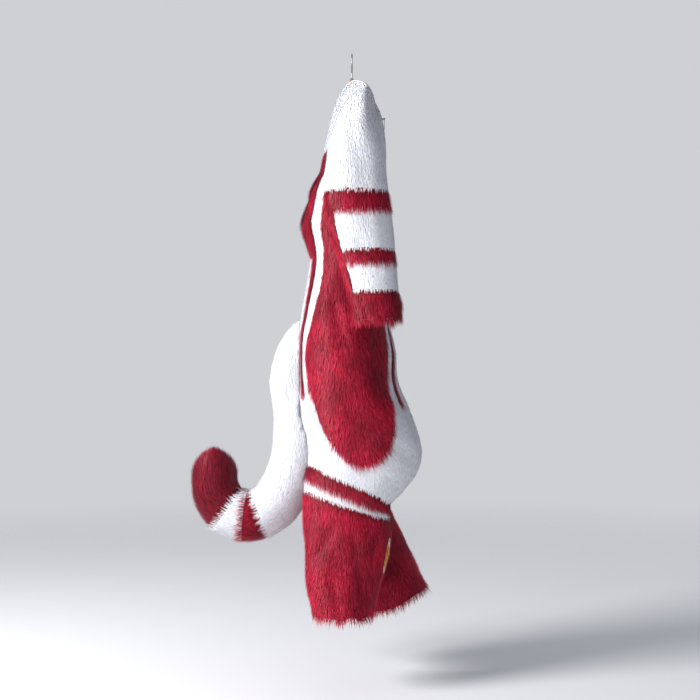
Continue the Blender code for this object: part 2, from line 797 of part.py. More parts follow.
def wall(suit, panel, pile, colour, normals, owners, centre_points):
    """One panel: its part of the surface inside, the tips of its pile outside, and its rims."""
    faces = [face for face, owner in zip(suit.faces, suit.panels) if owner == panel]
    moves = inward_steps(suit, panel, owners, centre_points)
    order = sorted({corner for face in faces for corner in face})
    number = {corner: place for place, corner in enumerate(order)}
    count = len(order)
    inner = []
    outer = []
    for corner in order:
        base = suit.points[corner] + moves.get(corner, Vector())
        tip = base + normals[corner] * pile
        tip.z -= suit.fringe.get(corner, 0.0)
        inner.append(base)
        outer.append(tip)
    solid = []
    for face in faces:
        a, b, c, d = (number[corner] for corner in face)
        solid.append((a, d, c, b))
        solid.append((a + count, b + count, c + count, d + count))
    # Both walls of a seam turn the same facets to each other, up to the shorter pile
    directed = {(start, end) for face in faces for start, end in zip(face, face[1:] + face[:1])}
    border = sorted(edge for edge in directed if edge[::-1] not in directed)
    points = inner + outer
    steps = [{corner: number[corner] for edge in border for corner in edge}]
    if pile > WHITE_PILE:
        half_way = {}
        for corner in steps[0]:
            half_way[corner] = len(points)
            points.append(inner[number[corner]] + normals[corner] * WHITE_PILE)
        steps.append(half_way)
    steps.append({corner: number[corner] + count for corner in steps[0]})
    for low, high in zip(steps, steps[1:]):
        for start, end in border:
            if start < end:
                solid.append((low[start], low[end], high[end]))
                solid.append((low[start], high[end], high[start]))
            else:
                solid.append((low[start], low[end], high[start]))
                solid.append((low[end], high[end], high[start]))
    return object_from(panel, points, solid, colour)


def build_panels(suit):
    normals = point_normals(suit.points, suit.faces)
    owners = edge_owners(suit)
    crotch_row = YOKE_ROWS + len(TORSO_ROWS) - 1
    centre_points = {suit.index[("torso", 0, row, 0)] for row in range(crotch_row + 1)}
    for panel in sorted(set(suit.panels)):
        reds = ("stripe", "side_panel", "yoke", "band", "lower_leg", "cuff", "under_sleeve")
        red = any(word in panel for word in reds)
        pile, colour = (RED_PILE, "red") if red else (WHITE_PILE, "white")
        wall(suit, panel, pile, colour, normals, owners, centre_points)
    return normals


def build_shin_patch(suit, normals, letter, side):
    """An oval that lies on the lower leg's pile, made from the leg's own points."""
    first_line, last_line = PATCH_LINES
    first_column, last_column = PATCH_COLUMNS
    inner = []
    outer = []

    def on_leg(down, across, lift):
        line = first_line + (last_line - first_line) * down
        column = first_column + (last_column - first_column) * across
        low_line = min(int(line), last_line - 1)
        low_column = min(int(column), last_column - 1)
        corners = []
        for step_line, step_column in ((0, 0), (0, 1), (1, 0), (1, 1)):
            key = suit.key(("leg", side, low_line + step_line, low_column + step_column))
            place = suit.index[key]
            corners.append(suit.points[place] + normals[place] * lift)
        top = corners[0].lerp(corners[1], column - low_column)
        bottom = corners[2].lerp(corners[3], column - low_column)
        return top.lerp(bottom, line - low_line)

    near = RED_PILE + PATCH_STAND_OFF
    far = near + PATCH_THICKNESS
    inner.append(on_leg(0.5, 0.5, near))
    outer.append(on_leg(0.5, 0.5, far))
    for ring in PATCH_RINGS:
        for step in range(PATCH_SIDES):
            turn = 2 * math.pi * step / PATCH_SIDES
            down = 0.5 + PATCH_HALF_HEIGHT * ring * math.cos(turn)
            across = 0.5 + PATCH_HALF_WIDTH * ring * math.sin(turn)
            inner.append(on_leg(down, across, near))
            outer.append(on_leg(down, across, far))
    count = len(inner)
    faces = []
    for step in range(PATCH_SIDES):
        after = (step + 1) % PATCH_SIDES
        faces.append((0, 1 + step, 1 + after))
        faces.append((count, count + 1 + after, count + 1 + step))
        a, b = 1 + step, 1 + after
        c, d = 1 + PATCH_SIDES + after, 1 + PATCH_SIDES + step
        faces.append((a, d, c, b))
        faces.append((count + a, count + b, count + c, count + d))
        faces.append((d, count + d, count + c, c))
    if side == LEFT:
        faces = [face[::-1] for face in faces]
    return object_from(f"shin_patch_{letter}", inner + outer, faces, "yellow")


def smooth_path(rows, share):
    """A point of a Catmull-Rom curve through the rows, at this share of its length."""
    spans = len(rows) - 1
    position = min(share * spans, spans - 1e-9)
    index = int(position)
    local = position - index
    before = rows[max(index - 1, 0)]
    low, high = rows[index], rows[index + 1]
    after = rows[min(index + 2, spans)]
    values = []
    for p0, p1, p2, p3 in zip(before, low, high, after):
        value = 2 * p1 + (p2 - p0) * local + (2 * p0 - 5 * p1 + 4 * p2 - p3) * local**2
        value += (3 * p1 - p0 - 3 * p2 + p3) * local**3
        values.append(value / 2)
    return values


def tail_ring(share, shrink=1.0):
    here = smooth_path(TAIL_ROWS, share)
    before = smooth_path(TAIL_ROWS, max(share - TAIL_AIM_STEP, 0.0))
    after = smooth_path(TAIL_ROWS, min(share + TAIL_AIM_STEP, 1.0))
    along = Vector((0, after[0] - before[0], before[1] - after[1])).normalized()
    sideways = Vector((1, 0, 0))
    up = sideways.cross(along)
    centre = Vector((0, here[0] * MM, -here[1] * MM))
    radius = here[2] * MM * shrink
    ring = []
    for step in range(TAIL_SIDES):
        turn = 2 * math.pi * step / TAIL_SIDES
        across = sideways * (math.cos(turn) * TAIL_WIDTH_SHARE)
        ring.append(centre + (across + up * math.sin(turn)) * radius)
    return ring, centre, along


def build_tail(seat_cutter):
    """The stuffed tail, in four lengths cut square across its centre line."""
    for name, start, end, colour in TAIL_PIECES:
        steps = max(2, round(TAIL_STEPS * (end - start)))
        rings = []
        for step in range(steps + 1):
            share = start + (end - start) * step / steps
            ring, centre, along = tail_ring(share)
            if step == 0 and start > 0:
                ring = [point + along * (SEAM_GAP / 2) for point in ring]
                centre = centre + along * (SEAM_GAP / 2)
            if step == steps and end < 1:
                ring = [point - along * (SEAM_GAP / 2) for point in ring]
                centre = centre - along * (SEAM_GAP / 2)
            rings.append((ring, centre))
        if end == 1.0:
            ring, centre, along = tail_ring(1.0)
            reach = TAIL_ROWS[-1][2] * MM
            for turn in TAIL_END_TURNS:
                angle = turn * math.pi / 2
                small, _, _ = tail_ring(1.0, math.cos(angle))
                shift = along * (reach * math.sin(angle))
                rings.append(([point + shift for point in small], centre + shift))
            rings[-1] = (rings[-1][0], centre + along * reach)
        points = [point for ring, _ in rings for point in ring]
        faces = []
        for row in range(len(rings) - 1):
            for step in range(TAIL_SIDES):
                a = row * TAIL_SIDES + step
                b = row * TAIL_SIDES + (step + 1) % TAIL_SIDES
                faces.append((a, b, b + TAIL_SIDES, a + TAIL_SIDES))
        points += [rings[0][1], rings[-1][1]]
        first, last = len(points) - 2, len(points) - 1
        base = (len(rings) - 1) * TAIL_SIDES
        for step in range(TAIL_SIDES):
            after = (step + 1) % TAIL_SIDES
            faces.append((first, after, step))
            faces.append((last, base + step, base + after))
        tail = object_from(name, points, faces, colour)
        fix_normals(tail)
        if start == 0.0:
            cut = tail.modifiers.new("seat", "BOOLEAN")
            cut.operation = "DIFFERENCE"
            cut.object = seat_cutter


def fix_normals(obj):
    shape = bmesh.new()
    shape.from_mesh(obj.data)
    bmesh.ops.recalc_face_normals(shape, faces=shape.faces)
    shape.to_mesh(obj.data)
    shape.free()


def build_seat_cutter(suit, normals):
    """A guide that fills the body up to just over its pile, which shapes the tail's root."""
    torso_rows = range(YOKE_ROWS + SEAT_FIRST_ROW, YOKE_ROWS + len(TORSO_ROWS) - 1)
    lines = [("torso", row) for row in torso_rows] + [("leg", line) for line in range(BAND_TOP_LINE)]
    half = list(range(PANEL_BACK, CENTRE_BACK + 1))
    outer = []
    for kind, row in lines:
        for side, columns in ((RIGHT, half), (LEFT, half[::-1])):
            for column in columns:
                place = suit.index[suit.key((kind, side, row, column))]
                on_stripe = column <= STRIPE_BACK + 1
                pile = RED_PILE if on_stripe else WHITE_PILE
                if column == CENTRE_BACK:
                    pile += CENTRE_SEAT_MARGIN
                tip = suit.points[place] + normals[place] * (pile + TAIL_SEAT_GAP)
                if column == CENTRE_BACK:
                    tip.x += side * SEAM_GAP
                outer.append(tip)
    deep = [Vector((tip.x, TAIL_CUT_DEPTH, tip.z)) for tip in outer]
    width = 2 * len(half)
    height = len(lines)
    count = len(outer)
    faces = []
    for row in range(height - 1):
        for column in range(width - 1):
            a = row * width + column
            quad = (a, a + 1, a + width + 1, a + width)
            faces.append(quad)
            faces.append(tuple(corner + count for corner in quad[::-1]))
    border = list(range(width))
    border += [row * width + width - 1 for row in range(1, height)]
    border += [(height - 1) * width + column for column in range(width - 2, -1, -1)]
    border += [row * width for row in range(height - 2, 0, -1)]
    for start, end in zip(border, border[1:] + border[:1]):
        faces.append((start, start + count, end + count, end))
    cutter = object_from("tail_seat_guide", outer + deep, faces, "white")
    fix_normals(cutter)
    cutter.hide_render = True
    cutter.display_type = "WIRE"
    return cutter


def centre_front(suit, drop):
    """The point of the centre front at this drop, and the direction straight out of it."""
    rows = YOKE_ROWS + len(TORSO_ROWS)
    line = [suit.points[suit.index[("torso", 0, row, 0)]] for row in range(rows)]
    for high, low in zip(line, line[1:]):
        if -high.z <= drop <= -low.z:
            share = (drop + high.z) / (high.z - low.z)
            along = (low - high).normalized()
            return high.lerp(low, share), Vector((0, along.z, -along.y)).normalized()
    raise ValueError("the drop is off the centre front")


def box(name, centre, size, colour, out=Vector((0, -1, 0))):
    """A block whose depth runs along out and whose height runs across it."""
    down = Vector((1, 0, 0)).cross(out)
    points = []
    for across in (-0.5, 0.5):
        for depth in (-0.5, 0.5):
            for height in (-0.5, 0.5):
                shift = Vector((across * size[0], 0, 0)) + out * (depth * size[1])
                points.append(centre + shift + down * (height * size[2]))
    faces = [(0, 1, 3, 2), (4, 6, 7, 5), (0, 4, 5, 1), (2, 3, 7, 6), (0, 2, 6, 4), (1, 5, 7, 3)]
    block = object_from(name, points, faces, colour)
    fix_normals(block)
    return block


def cylinder(name, centre, radius, length, colour, sides=16):
    shape = bmesh.new()
    bmesh.ops.create_cone(
        shape, cap_ends=True, segments=sides, radius1=radius, radius2=radius, depth=length
    )
    for point in shape.verts:
        x, y, z = point.co
        point.co = Vector((z, y, -x)) + centre
    mesh = bpy.data.meshes.new(name)
    bmesh.ops.recalc_face_normals(shape, faces=shape.faces)
    shape.to_mesh(mesh)
    shape.free()
    made = bpy.data.objects.new(name, mesh)
    bpy.context.scene.collection.objects.link(made)
    mesh.materials.append(material(colour))
    return made


def combine(target, other, operation):
    """Adds a helper to a piece, or cuts it away."""
    joined = target.modifiers.new(other.name, "BOOLEAN")
    joined.operation = operation
    joined.object = other
    other.hide_render = True
    other.display_type = "WIRE"


def chain_tip(suit):
    """The last section of the zip's tape: its place, the direction out of it and its width."""
    line_end = suit.points[suit.index[("torso", 0, YOKE_ROWS + len(TORSO_ROWS) - 1, 0)]]
    seam = suit.points[suit.index[("crotch", 0, 0, LEG_COLUMNS - 1)]]
    along = (seam - line_end).normalized()
    out = Vector((0, along.z, -along.y))
    return line_end.lerp(seam, CHAIN_TIP_SHARE), out, CHAIN_TIP_WIDTH


def build_zip(suit):
    """Closed chain in its channel, slider at the neck, and a pull tab that hangs from it."""
    top = CHAIN_TOP_MARGIN - suit.points[suit.index[("torso", 0, 0, 0)]].z
    bottom = CROTCH_LINE_DROP - CHAIN_END_MARGIN
    sections = []
    for step in range(CHAIN_STEPS + 1):
        spot, out = centre_front(suit, top + (bottom - top) * step / CHAIN_STEPS)
        sections.append((spot, out, CHAIN_WIDTH))
    # The channel closes to a seam below the crotch line, and the tape's end narrows with it
    sections.append(chain_tip(suit))
    points = []
    for spot, out, width in sections:
        for across in (-0.5, 0.5):
            for lift in (0.0, CHAIN_THICKNESS):
                points.append(spot + Vector((across * width, 0, 0)) + out * lift)
    faces = []
    for step in range(CHAIN_STEPS + 1):
        a = 4 * step
        for one, two in ((0, 1), (1, 3), (3, 2), (2, 0)):
            faces.append((a + one, a + two, a + 4 + two, a + 4 + one))
    last = 4 * (CHAIN_STEPS + 1)
    faces.append((0, 2, 3, 1))
    faces.append((last, last + 1, last + 3, last + 2))
    fix_normals(object_from("zip_chain", points, faces, "zip"))

    spot, out = centre_front(suit, SLIDER_DROP)
    seat = CHAIN_THICKNESS + SEAM_GAP
    plate_centre = spot + out * (seat + SLIDER_THICKNESS / 2)
    plate_size = (SLIDER_WIDTH, SLIDER_THICKNESS, SLIDER_LENGTH)
    slider = box("zip_slider", plate_centre, plate_size, "steel", out)
    pin_centre = spot + out * PIN_STAND_OFF
    for side in (-1, 1):
        ear_x = side * (EAR_GAP + EAR_THICKNESS) / 2
        ear_foot = spot + out * (seat + SLIDER_THICKNESS / 2)
        ear_tip = pin_centre + out * (PIN_RADIUS + EAR_OVER_PIN)
        length = (ear_tip - ear_foot).length
        centre = (ear_foot + ear_tip) / 2 + Vector((ear_x, 0, 0))
        ear_size = (EAR_THICKNESS, length, EAR_HEIGHT)
        ear = box(f"ear_guide_{side}", centre, ear_size, "steel", out)
        combine(slider, ear, "UNION")
    pin = cylinder("pin_guide", pin_centre, PIN_RADIUS, EAR_GAP + EAR_THICKNESS, "steel")
    combine(slider, pin, "UNION")

    hang = Vector((0, 0, -1))
    plate = pin_centre + hang * (PULL_NECK + PULL_LENGTH / 2)
    pull = box("zip_pull", plate, (PULL_WIDTH, PULL_THICKNESS, PULL_LENGTH), "steel")
    neck_size = (EAR_GAP - 2 * PULL_THICKNESS, PULL_THICKNESS, PULL_NECK)
    neck_centre = pin_centre + hang * (PULL_NECK / 2 + EYE_INNER_RADIUS)
    neck = box("neck_guide", neck_centre, neck_size, "steel")
    combine(pull, neck, "UNION")
    eye = cylinder("eye_guide", pin_centre, EYE_OUTER_RADIUS, EAR_GAP - 2 * SEAM_GAP, "steel")
    combine(pull, eye, "UNION")
    bore = cylinder("bore_guide", pin_centre, EYE_INNER_RADIUS, 2 * EAR_GAP, "steel")
    combine(pull, bore, "DIFFERENCE")


def wood_centre(across):
    """The hanger's centre line: under the shoulder seam, curved down and forward."""
    share = min(abs(across) / SHOULDER_HALF_WIDTH, 1.0)
    fall = SHOULDER_DROP + WOOD_CLEARANCE - WOOD_ARM_TOP
    drop = WOOD_ARM_TOP + fall * share**SLOPE_POWER
    drop -= WOOD_NECK_RISE * (1 - smooth(abs(across) / WOOD_NECK_REACH))
    reach = max(abs(across) - NECK_HALF_WIDTH, 0) / (SHOULDER_HALF_WIDTH - NECK_HALF_WIDTH)
    forward = SHOULDER_FORWARD * reach**SLOPE_POWER
    return Vector((across, -forward, -drop - WOOD_HEIGHT / 2))


def build_hanger():
    points = []
    for step in range(WOOD_STEPS + 1):
        across = WOOD_TIP_X * (2 * step / WOOD_STEPS - 1)
        centre = wood_centre(across)
        taper = 1 - WOOD_TAPER * abs(across / WOOD_TIP_X) ** WOOD_TAPER_POWER
        for side in range(WOOD_SIDES):
            turn = 2 * math.pi * side / WOOD_SIDES
            rounded = 2 / WOOD_ROUNDNESS
            height, depth = oval(turn, WOOD_HEIGHT / 2, WOOD_THICKNESS / 2, rounded)
            top = Vector((0, 0, WOOD_HEIGHT / 2 * (1 - taper)))
            points.append(centre + top + Vector((0, -depth * taper, height * taper)))
    faces = []
    for step in range(WOOD_STEPS):
        for side in range(WOOD_SIDES):
            a = step * WOOD_SIDES + side
            b = step * WOOD_SIDES + (side + 1) % WOOD_SIDES
            faces.append((a, b, b + WOOD_SIDES, a + WOOD_SIDES))
    faces.append(tuple(range(WOOD_SIDES)))
    last = WOOD_STEPS * WOOD_SIDES
    faces.append(tuple(last + side for side in range(WOOD_SIDES)))
    wood = object_from("hanger_wood", points, faces, "wood")
    fix_normals(wood)
    foot = Vector((0, 0, -STEM_FOOT_DROP))
    hole = cylinder("stem_hole_guide", Vector(), HOOK_WIRE / 2 + SEAM_GAP, STEM_FOOT_DROP, "wood")
    for point in hole.data.vertices:
        x, y, z = point.co
        point.co = (z, y, x)
    hole.location = foot + Vector((0, 0, STEM_FOOT_DROP / 2 - SEAM_GAP))
    combine(wood, hole, "DIFFERENCE")

    rise = HOOK_WIRE / 2
    centre_z = rise - HOOK_RADIUS
    route = [(0.0, -STEM_FOOT_DROP), (0.0, -STEM_BEND_DROP)]
    route.append((STEM_BEND_REACH, STEM_BEND_HEIGHT - STEM_BEND_DROP))
    for step in range(HOOK_TURNS):
        turn = HOOK_FIRST_TURN + step * HOOK_TURN_STEP
        route.append((HOOK_RADIUS * math.cos(turn), centre_z + HOOK_RADIUS * math.sin(turn)))
    curve = bpy.data.curves.new("hanger_hook", "CURVE")
    curve.dimensions = "3D"
    curve.bevel_depth = HOOK_WIRE / 2
    curve.bevel_resolution = 2
    curve.use_fill_caps = True
    spline = curve.splines.new("POLY")
    spline.points.add(HOOK_STEPS)
    for number in range(HOOK_STEPS + 1):
        x, z = smooth_path(route, number / HOOK_STEPS)
        spline.points[number].co = (x, 0, z, 1)
    hook = bpy.data.objects.new("hanger_hook", curve)
    curve.materials.append(material("steel"))
    bpy.context.scene.collection.objects.link(hook)


def build():
    clear_scene()
    suit = Suit()
    for letter, side in SIDES:
        build_torso(suit, letter, side)
        build_leg(suit, letter, side)
        build_sleeve(suit, letter, side)
    crease_surface(suit)
    normals = build_panels(suit)
    for letter, side in SIDES:
        build_shin_patch(suit, normals, letter, side)
    build_tail(build_seat_cutter(suit, normals))
    build_zip(suit)
    build_hanger()


build()
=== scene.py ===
import math

import bmesh
import bpy
import numpy as np
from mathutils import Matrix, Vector, noise
from mathutils.bvhtree import BVHTree


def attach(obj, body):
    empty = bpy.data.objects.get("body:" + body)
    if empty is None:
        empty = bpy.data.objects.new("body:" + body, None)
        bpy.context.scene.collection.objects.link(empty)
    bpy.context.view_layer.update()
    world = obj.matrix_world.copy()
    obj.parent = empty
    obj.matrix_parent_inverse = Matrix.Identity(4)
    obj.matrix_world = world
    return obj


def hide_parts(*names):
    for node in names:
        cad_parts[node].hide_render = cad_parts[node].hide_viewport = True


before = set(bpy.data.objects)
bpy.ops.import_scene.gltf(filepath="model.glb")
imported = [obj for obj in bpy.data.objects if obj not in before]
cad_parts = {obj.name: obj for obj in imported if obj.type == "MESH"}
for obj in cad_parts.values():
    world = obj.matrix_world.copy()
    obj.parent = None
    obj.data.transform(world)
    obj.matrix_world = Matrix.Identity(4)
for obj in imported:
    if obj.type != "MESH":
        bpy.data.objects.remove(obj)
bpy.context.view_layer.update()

mm = 0.001
sides = {"R": -1, "L": 1}
suitBody = "suit"


# Camera at the wearer's right, level with the middle of the hanging suit
viewpoint = {
    "place": (-3.4, 0.0054, -0.7965),
    "aim": (0.0, 0.0054, -0.7965),
    "sensor": 36.0,
    "lens": 64.77,
}


def makeCamera():
    lens = bpy.data.cameras.new("camera")
    lens.sensor_width = viewpoint["sensor"]
    lens.sensor_height = viewpoint["sensor"]
    lens.lens = viewpoint["lens"]
    lens.clip_start = 0.05
    lens.clip_end = 60
    camera = bpy.data.objects.new("camera", lens)
    camera.location = viewpoint["place"]
    look = Vector(viewpoint["aim"]) - Vector(viewpoint["place"])
    camera.rotation_euler = look.to_track_quat("-Z", "Y").to_euler()
    bpy.context.scene.collection.objects.link(camera)
    bpy.context.scene.camera = camera
    bpy.context.scene.view_settings.view_transform = "Standard"


# Shader building

def newMaterial(name, **uniform):
    made = bpy.data.materials.new(name)
    made.use_nodes = True
    shader = made.node_tree.nodes["Principled BSDF"]
    for socket, value in uniform.items():
        shader.inputs[socket.replace("_", " ")].default_value = value
    return made, made.node_tree, shader


def addNode(tree, kind, **settings):
    node = tree.nodes.new(kind)
    for name, value in settings.items():
        if name.startswith("in_"):
            key = name[3:]
            place = int(key) if key.isdigit() else key.replace("_", " ")
            node.inputs[place].default_value = value
        else:
            setattr(node, name, value)
    return node


def join(tree, source, target):
    tree.links.new(source, target)


def newGroup(name, inputs, outputs):
    group = bpy.data.node_groups.new(name, "ShaderNodeTree")
    for label, kind, value in inputs:
        socket = group.interface.new_socket(label, in_out="INPUT", socket_type=kind)
        socket.default_value = value
    for label, kind in outputs:
        group.interface.new_socket(label, in_out="OUTPUT", socket_type=kind)
    return group, group.nodes.new("NodeGroupInput"), group.nodes.new("NodeGroupOutput")


def setOrJoin(tree, socket, value):
    # A socket takes another node's output or a plain value
    if hasattr(value, "is_output"):
        join(tree, value, socket)
    else:
        socket.default_value = value


def mixColour(tree, amount, first, second):
    node = addNode(tree, "ShaderNodeMix", data_type="RGBA", blend_type="MIX", clamp_result=True)
    for place, value in ((0, amount), (6, first), (7, second)):
        setOrJoin(tree, node.inputs[place], value)
    return node.outputs[2]


def maths(tree, operation, first, second):
    node = addNode(tree, "ShaderNodeMath", operation=operation)
    setOrJoin(tree, node.inputs[0], first)
    setOrJoin(tree, node.inputs[1], second)
    return node.outputs[0]


def spread(tree, value, low, high, lowTo, highTo):
    node = addNode(tree, "ShaderNodeMapRange", in_1=low, in_2=high, in_3=lowTo, in_4=highTo)
    join(tree, value, node.inputs[0])
    return node.outputs[0]


def addNoise(tree, source, scale, detail, distortion=0.0):
    node = addNode(tree, "ShaderNodeTexNoise", in_Scale=scale, in_Detail=detail, in_Distortion=distortion)
    join(tree, source, node.inputs["Vector"])
    return node.outputs["Fac"]


def objectPlace(tree):
    return addNode(tree, "ShaderNodeTexCoord").outputs["Object"]


def makeStrandGroup():
    # Colour of a strand from root to tip, darker towards the root as painted shade deep in the pile, with a
    # painted highlight on lighter strands and soft patches of painted shade.
    group, given, made = newGroup(
        "strandColour",
        [
            ("Root", "NodeSocketColor", (0.2, 0.0, 0.0, 1)),
            ("Middle", "NodeSocketColor", (0.5, 0.0, 0.0, 1)),
            ("Tip", "NodeSocketColor", (0.7, 0.1, 0.1, 1)),
            ("Light", "NodeSocketColor", (0.8, 0.3, 0.3, 1)),
            ("Light Share", "NodeSocketFloat", 0.2),
            ("Patch Strength", "NodeSocketFloat", 0.3),
        ],
        [("Colour", "NodeSocketColor"), ("Roughness", "NodeSocketFloat")],
    )
    along = addNode(group, "ShaderNodeAttribute", attribute_name="along").outputs["Fac"]
    tone = addNode(group, "ShaderNodeAttribute", attribute_name="tone").outputs["Fac"]
    # The root and middle colours are darker than the tip: painted shade deep in the pile
    lower = spread(group, along, 0.0, 0.45, 0.0, 1.0)
    upper = spread(group, along, 0.35, 1.0, 0.0, 1.0)
    colour = mixColour(group, lower, given.outputs["Root"], given.outputs["Middle"])
    colour = mixColour(group, upper, colour, given.outputs["Tip"])
    # A random share of the strands turns to the light colour towards its tip: a painted highlight
    edge = maths(group, "SUBTRACT", 1.0, given.outputs["Light Share"])
    isLight = maths(group, "GREATER_THAN", tone, edge)
    colour = mixColour(group, maths(group, "MULTIPLY", isLight, upper), colour, given.outputs["Light"])
    # Soft patches darkened towards the root colour: painted shade in the hollows between the locks
    shade = spread(group, addNoise(group, objectPlace(group), 11.0, 3.0), 0.36, 0.62, 1.0, 0.0)
    dark = maths(group, "MULTIPLY", shade, given.outputs["Patch Strength"])
    colour = mixColour(group, dark, colour, given.outputs["Root"])
    join(group, colour, made.inputs["Colour"])
    join(group, spread(group, tone, 0.0, 1.0, 0.48, 0.72), made.inputs["Roughness"])
    return group


def makeStreakGroup():
    # Fine streaks of combed pile between the strands, down the cloth, darker in the deep streaks as painted
    # shade.
    group, given, made = newGroup(
        "combedPile",
        [
            ("Deep", "NodeSocketColor", (0.2, 0.0, 0.0, 1)),
            ("Top", "NodeSocketColor", (0.5, 0.0, 0.0, 1)),
            ("Across Scale", "NodeSocketFloat", 420.0),
            ("Down Scale", "NodeSocketFloat", 40.0),
        ],
        [("Colour", "NodeSocketColor"), ("Height", "NodeSocketFloat")],
    )
    stretch = addNode(group, "ShaderNodeVectorMath", operation="MULTIPLY")
    scale = addNode(group, "ShaderNodeCombineXYZ")
    for number, label in enumerate(("Across Scale", "Across Scale", "Down Scale")):
        join(group, given.outputs[label], scale.inputs[number])
    join(group, objectPlace(group), stretch.inputs[0])
    join(group, scale.outputs[0], stretch.inputs[1])
    streaks = addNoise(group, stretch.outputs[0], 1.0, 4.0)
    amount = spread(group, streaks, 0.35, 0.65, 0.0, 1.0)
    join(group, mixColour(group, amount, given.outputs["Deep"], given.outputs["Top"]), made.inputs["Colour"])
    join(group, streaks, made.inputs["Height"])
    return group


def makeWeaveGroup():
    # A close over-and-under weave, for the cloth's inside and the zip's tape.
    group, given, made = newGroup(
        "closeWeave",
        [
            ("Colour", "NodeSocketColor", (0.8, 0.8, 0.8, 1)),
            ("Thread", "NodeSocketFloat", 900.0),
        ],
        [("Colour", "NodeSocketColor"), ("Height", "NodeSocketFloat")],
    )
    place = objectPlace(group)
    waves = []
    for turned in ("Z", "Y"):
        wave = addNode(group, "ShaderNodeTexWave", bands_direction=turned, in_Distortion=0.6)
        join(group, place, wave.inputs["Vector"])
        join(group, given.outputs["Thread"], wave.inputs["Scale"])
        waves.append(wave.outputs["Fac"])
    shade = spread(group, addNoise(group, place, 14.0, 4.0), 0.35, 0.7, 0.0, 0.22)
    colour = mixColour(group, shade, given.outputs["Colour"], (0.42, 0.40, 0.40, 1))
    join(group, colour, made.inputs["Colour"])
    join(group, maths(group, "MULTIPLY", *waves), made.inputs["Height"])
    return group


strandGroup = makeStrandGroup()
streakGroup = makeStreakGroup()
weaveGroup = makeWeaveGroup()


def placeGroup(tree, group, **values):
    node = tree.nodes.new("ShaderNodeGroup")
    node.node_tree = group
    for name, value in values.items():
        node.inputs[name.replace("_", " ")].default_value = value
    return node


def addBump(tree, shader, height, strength, distance):
    bump = addNode(tree, "ShaderNodeBump", in_Strength=strength, in_Distance=distance)
    join(tree, height, bump.inputs["Height"])
    join(tree, bump.outputs[0], shader.inputs["Normal"])


# One entry for each kind of fur: its pile in the solids, its strands and its colours
# In each kind the root and middle are darker than the tip as painted shade deep in the pile, light is a
# painted highlight on the share of strands that lightShare gives, and patches sets the strength of soft
# painted shade
furKinds = {
    "white": {
        "pile": 8 * mm,
        "density": 80000,
        "length": 16 * mm,
        "width": 1.7 * mm,
        "lift": math.radians(6.5),
        "liftSpread": math.radians(2.5),
        "swirl": math.radians(9),
        "stray": math.radians(4),
        "root": (0.60, 0.61, 0.67, 1),
        "middle": (0.80, 0.81, 0.85, 1),
        "tip": (0.92, 0.92, 0.93, 1),
        "light": (0.96, 0.96, 0.96, 1),
        "lightShare": 0.3,
        "patches": 0.10,
        "seed": 11,
    },
    "red": {
        "pile": 11 * mm,
        "density": 150000,
        "length": 29 * mm,
        "width": 1.15 * mm,
        "lift": math.radians(11),
        "liftSpread": math.radians(7),
        "swirl": math.radians(34),
        "stray": math.radians(12),
        "root": (0.10, 0.0005, 0.006, 1),
        "middle": (0.33, 0.0015, 0.016, 1),
        "tip": (0.68, 0.006, 0.050, 1),
        "light": (0.94, 0.06, 0.17, 1),
        "lightShare": 0.18,
        "patches": 0.55,
        "seed": 23,
    },
    "deepRed": {
        "root": (0.07, 0.0004, 0.005, 1),
        "middle": (0.19, 0.001, 0.012, 1),
        "tip": (0.36, 0.004, 0.030, 1),
        "light": (0.58, 0.03, 0.09, 1),
        "lightShare": 0.10,
        "patches": 0.35,
        "seed": 29,
    },
    "yellow": {
        "pile": 1.5 * mm,
        "density": 160000,
        "length": 9 * mm,
        "width": 1.1 * mm,
        "lift": math.radians(10),
        "liftSpread": math.radians(6),
        "swirl": math.radians(20),
        "stray": math.radians(10),
        "root": (0.42, 0.24, 0.02, 1),
        "middle": (0.76, 0.50, 0.05, 1),
        "tip": (0.88, 0.66, 0.10, 1),
        "light": (0.92, 0.78, 0.30, 1),
        "lightShare": 0.2,
        "patches": 0.15,
        "seed": 31,
    },
}
# The tail's tip has the red fur's pile in darker colours: painted shade where the light falls off
furKinds["deepRed"] = {**furKinds["red"], **furKinds["deepRed"]}
backing = {
    "height": 6 * mm,
    "thickness": 2.2 * mm,
    "seamOut": 1.6 * mm,
    "seamDown": 1.4 * mm,
    "colour": (0.80, 0.80, 0.79, 1),
}


def makeStrandMaterial(kind):
    look = furKinds[kind]
    made, tree, shader = newMaterial(f"{kind}Strands", Sheen_Weight=0.15, Sheen_Roughness=0.4)
    shader.inputs["Sheen Tint"].default_value = look["light"]
    shader.inputs["Specular IOR Level"].default_value = 0.28
    group = placeGroup(
        tree,
        strandGroup,
        Root=look["root"],
        Middle=look["middle"],
        Tip=look["tip"],
        Light=look["light"],
        Light_Share=look["lightShare"],
        Patch_Strength=look["patches"],
    )
    colour = group.outputs["Colour"]
    if kind == "yellow":  # the patch's border is white fur
        rim = addNode(tree, "ShaderNodeAttribute", attribute_name="rim")
        colour = mixColour(tree, rim.outputs["Fac"], colour, furKinds["white"]["tip"])
    join(tree, colour, shader.inputs["Base Color"])
    join(tree, group.outputs["Roughness"], shader.inputs["Roughness"])
    return made


def makePileMaterial(kind):
    look = furKinds[kind]
    made, tree, shader = newMaterial(f"{kind}Pile", Roughness=0.8, Sheen_Weight=0.2)
    shader.inputs["Specular IOR Level"].default_value = 0.2
    # The pile takes the strands' darker root and middle colours: painted shade under the strands
    deep = tuple((low + high) / 2 for low, high in zip(look["root"], look["middle"]))
    group = placeGroup(tree, streakGroup, Deep=deep, Top=look["middle"])
    join(tree, group.outputs["Colour"], shader.inputs["Base Color"])
    addBump(tree, shader, group.outputs["Height"], 0.6, 1.5 * mm)
    return made


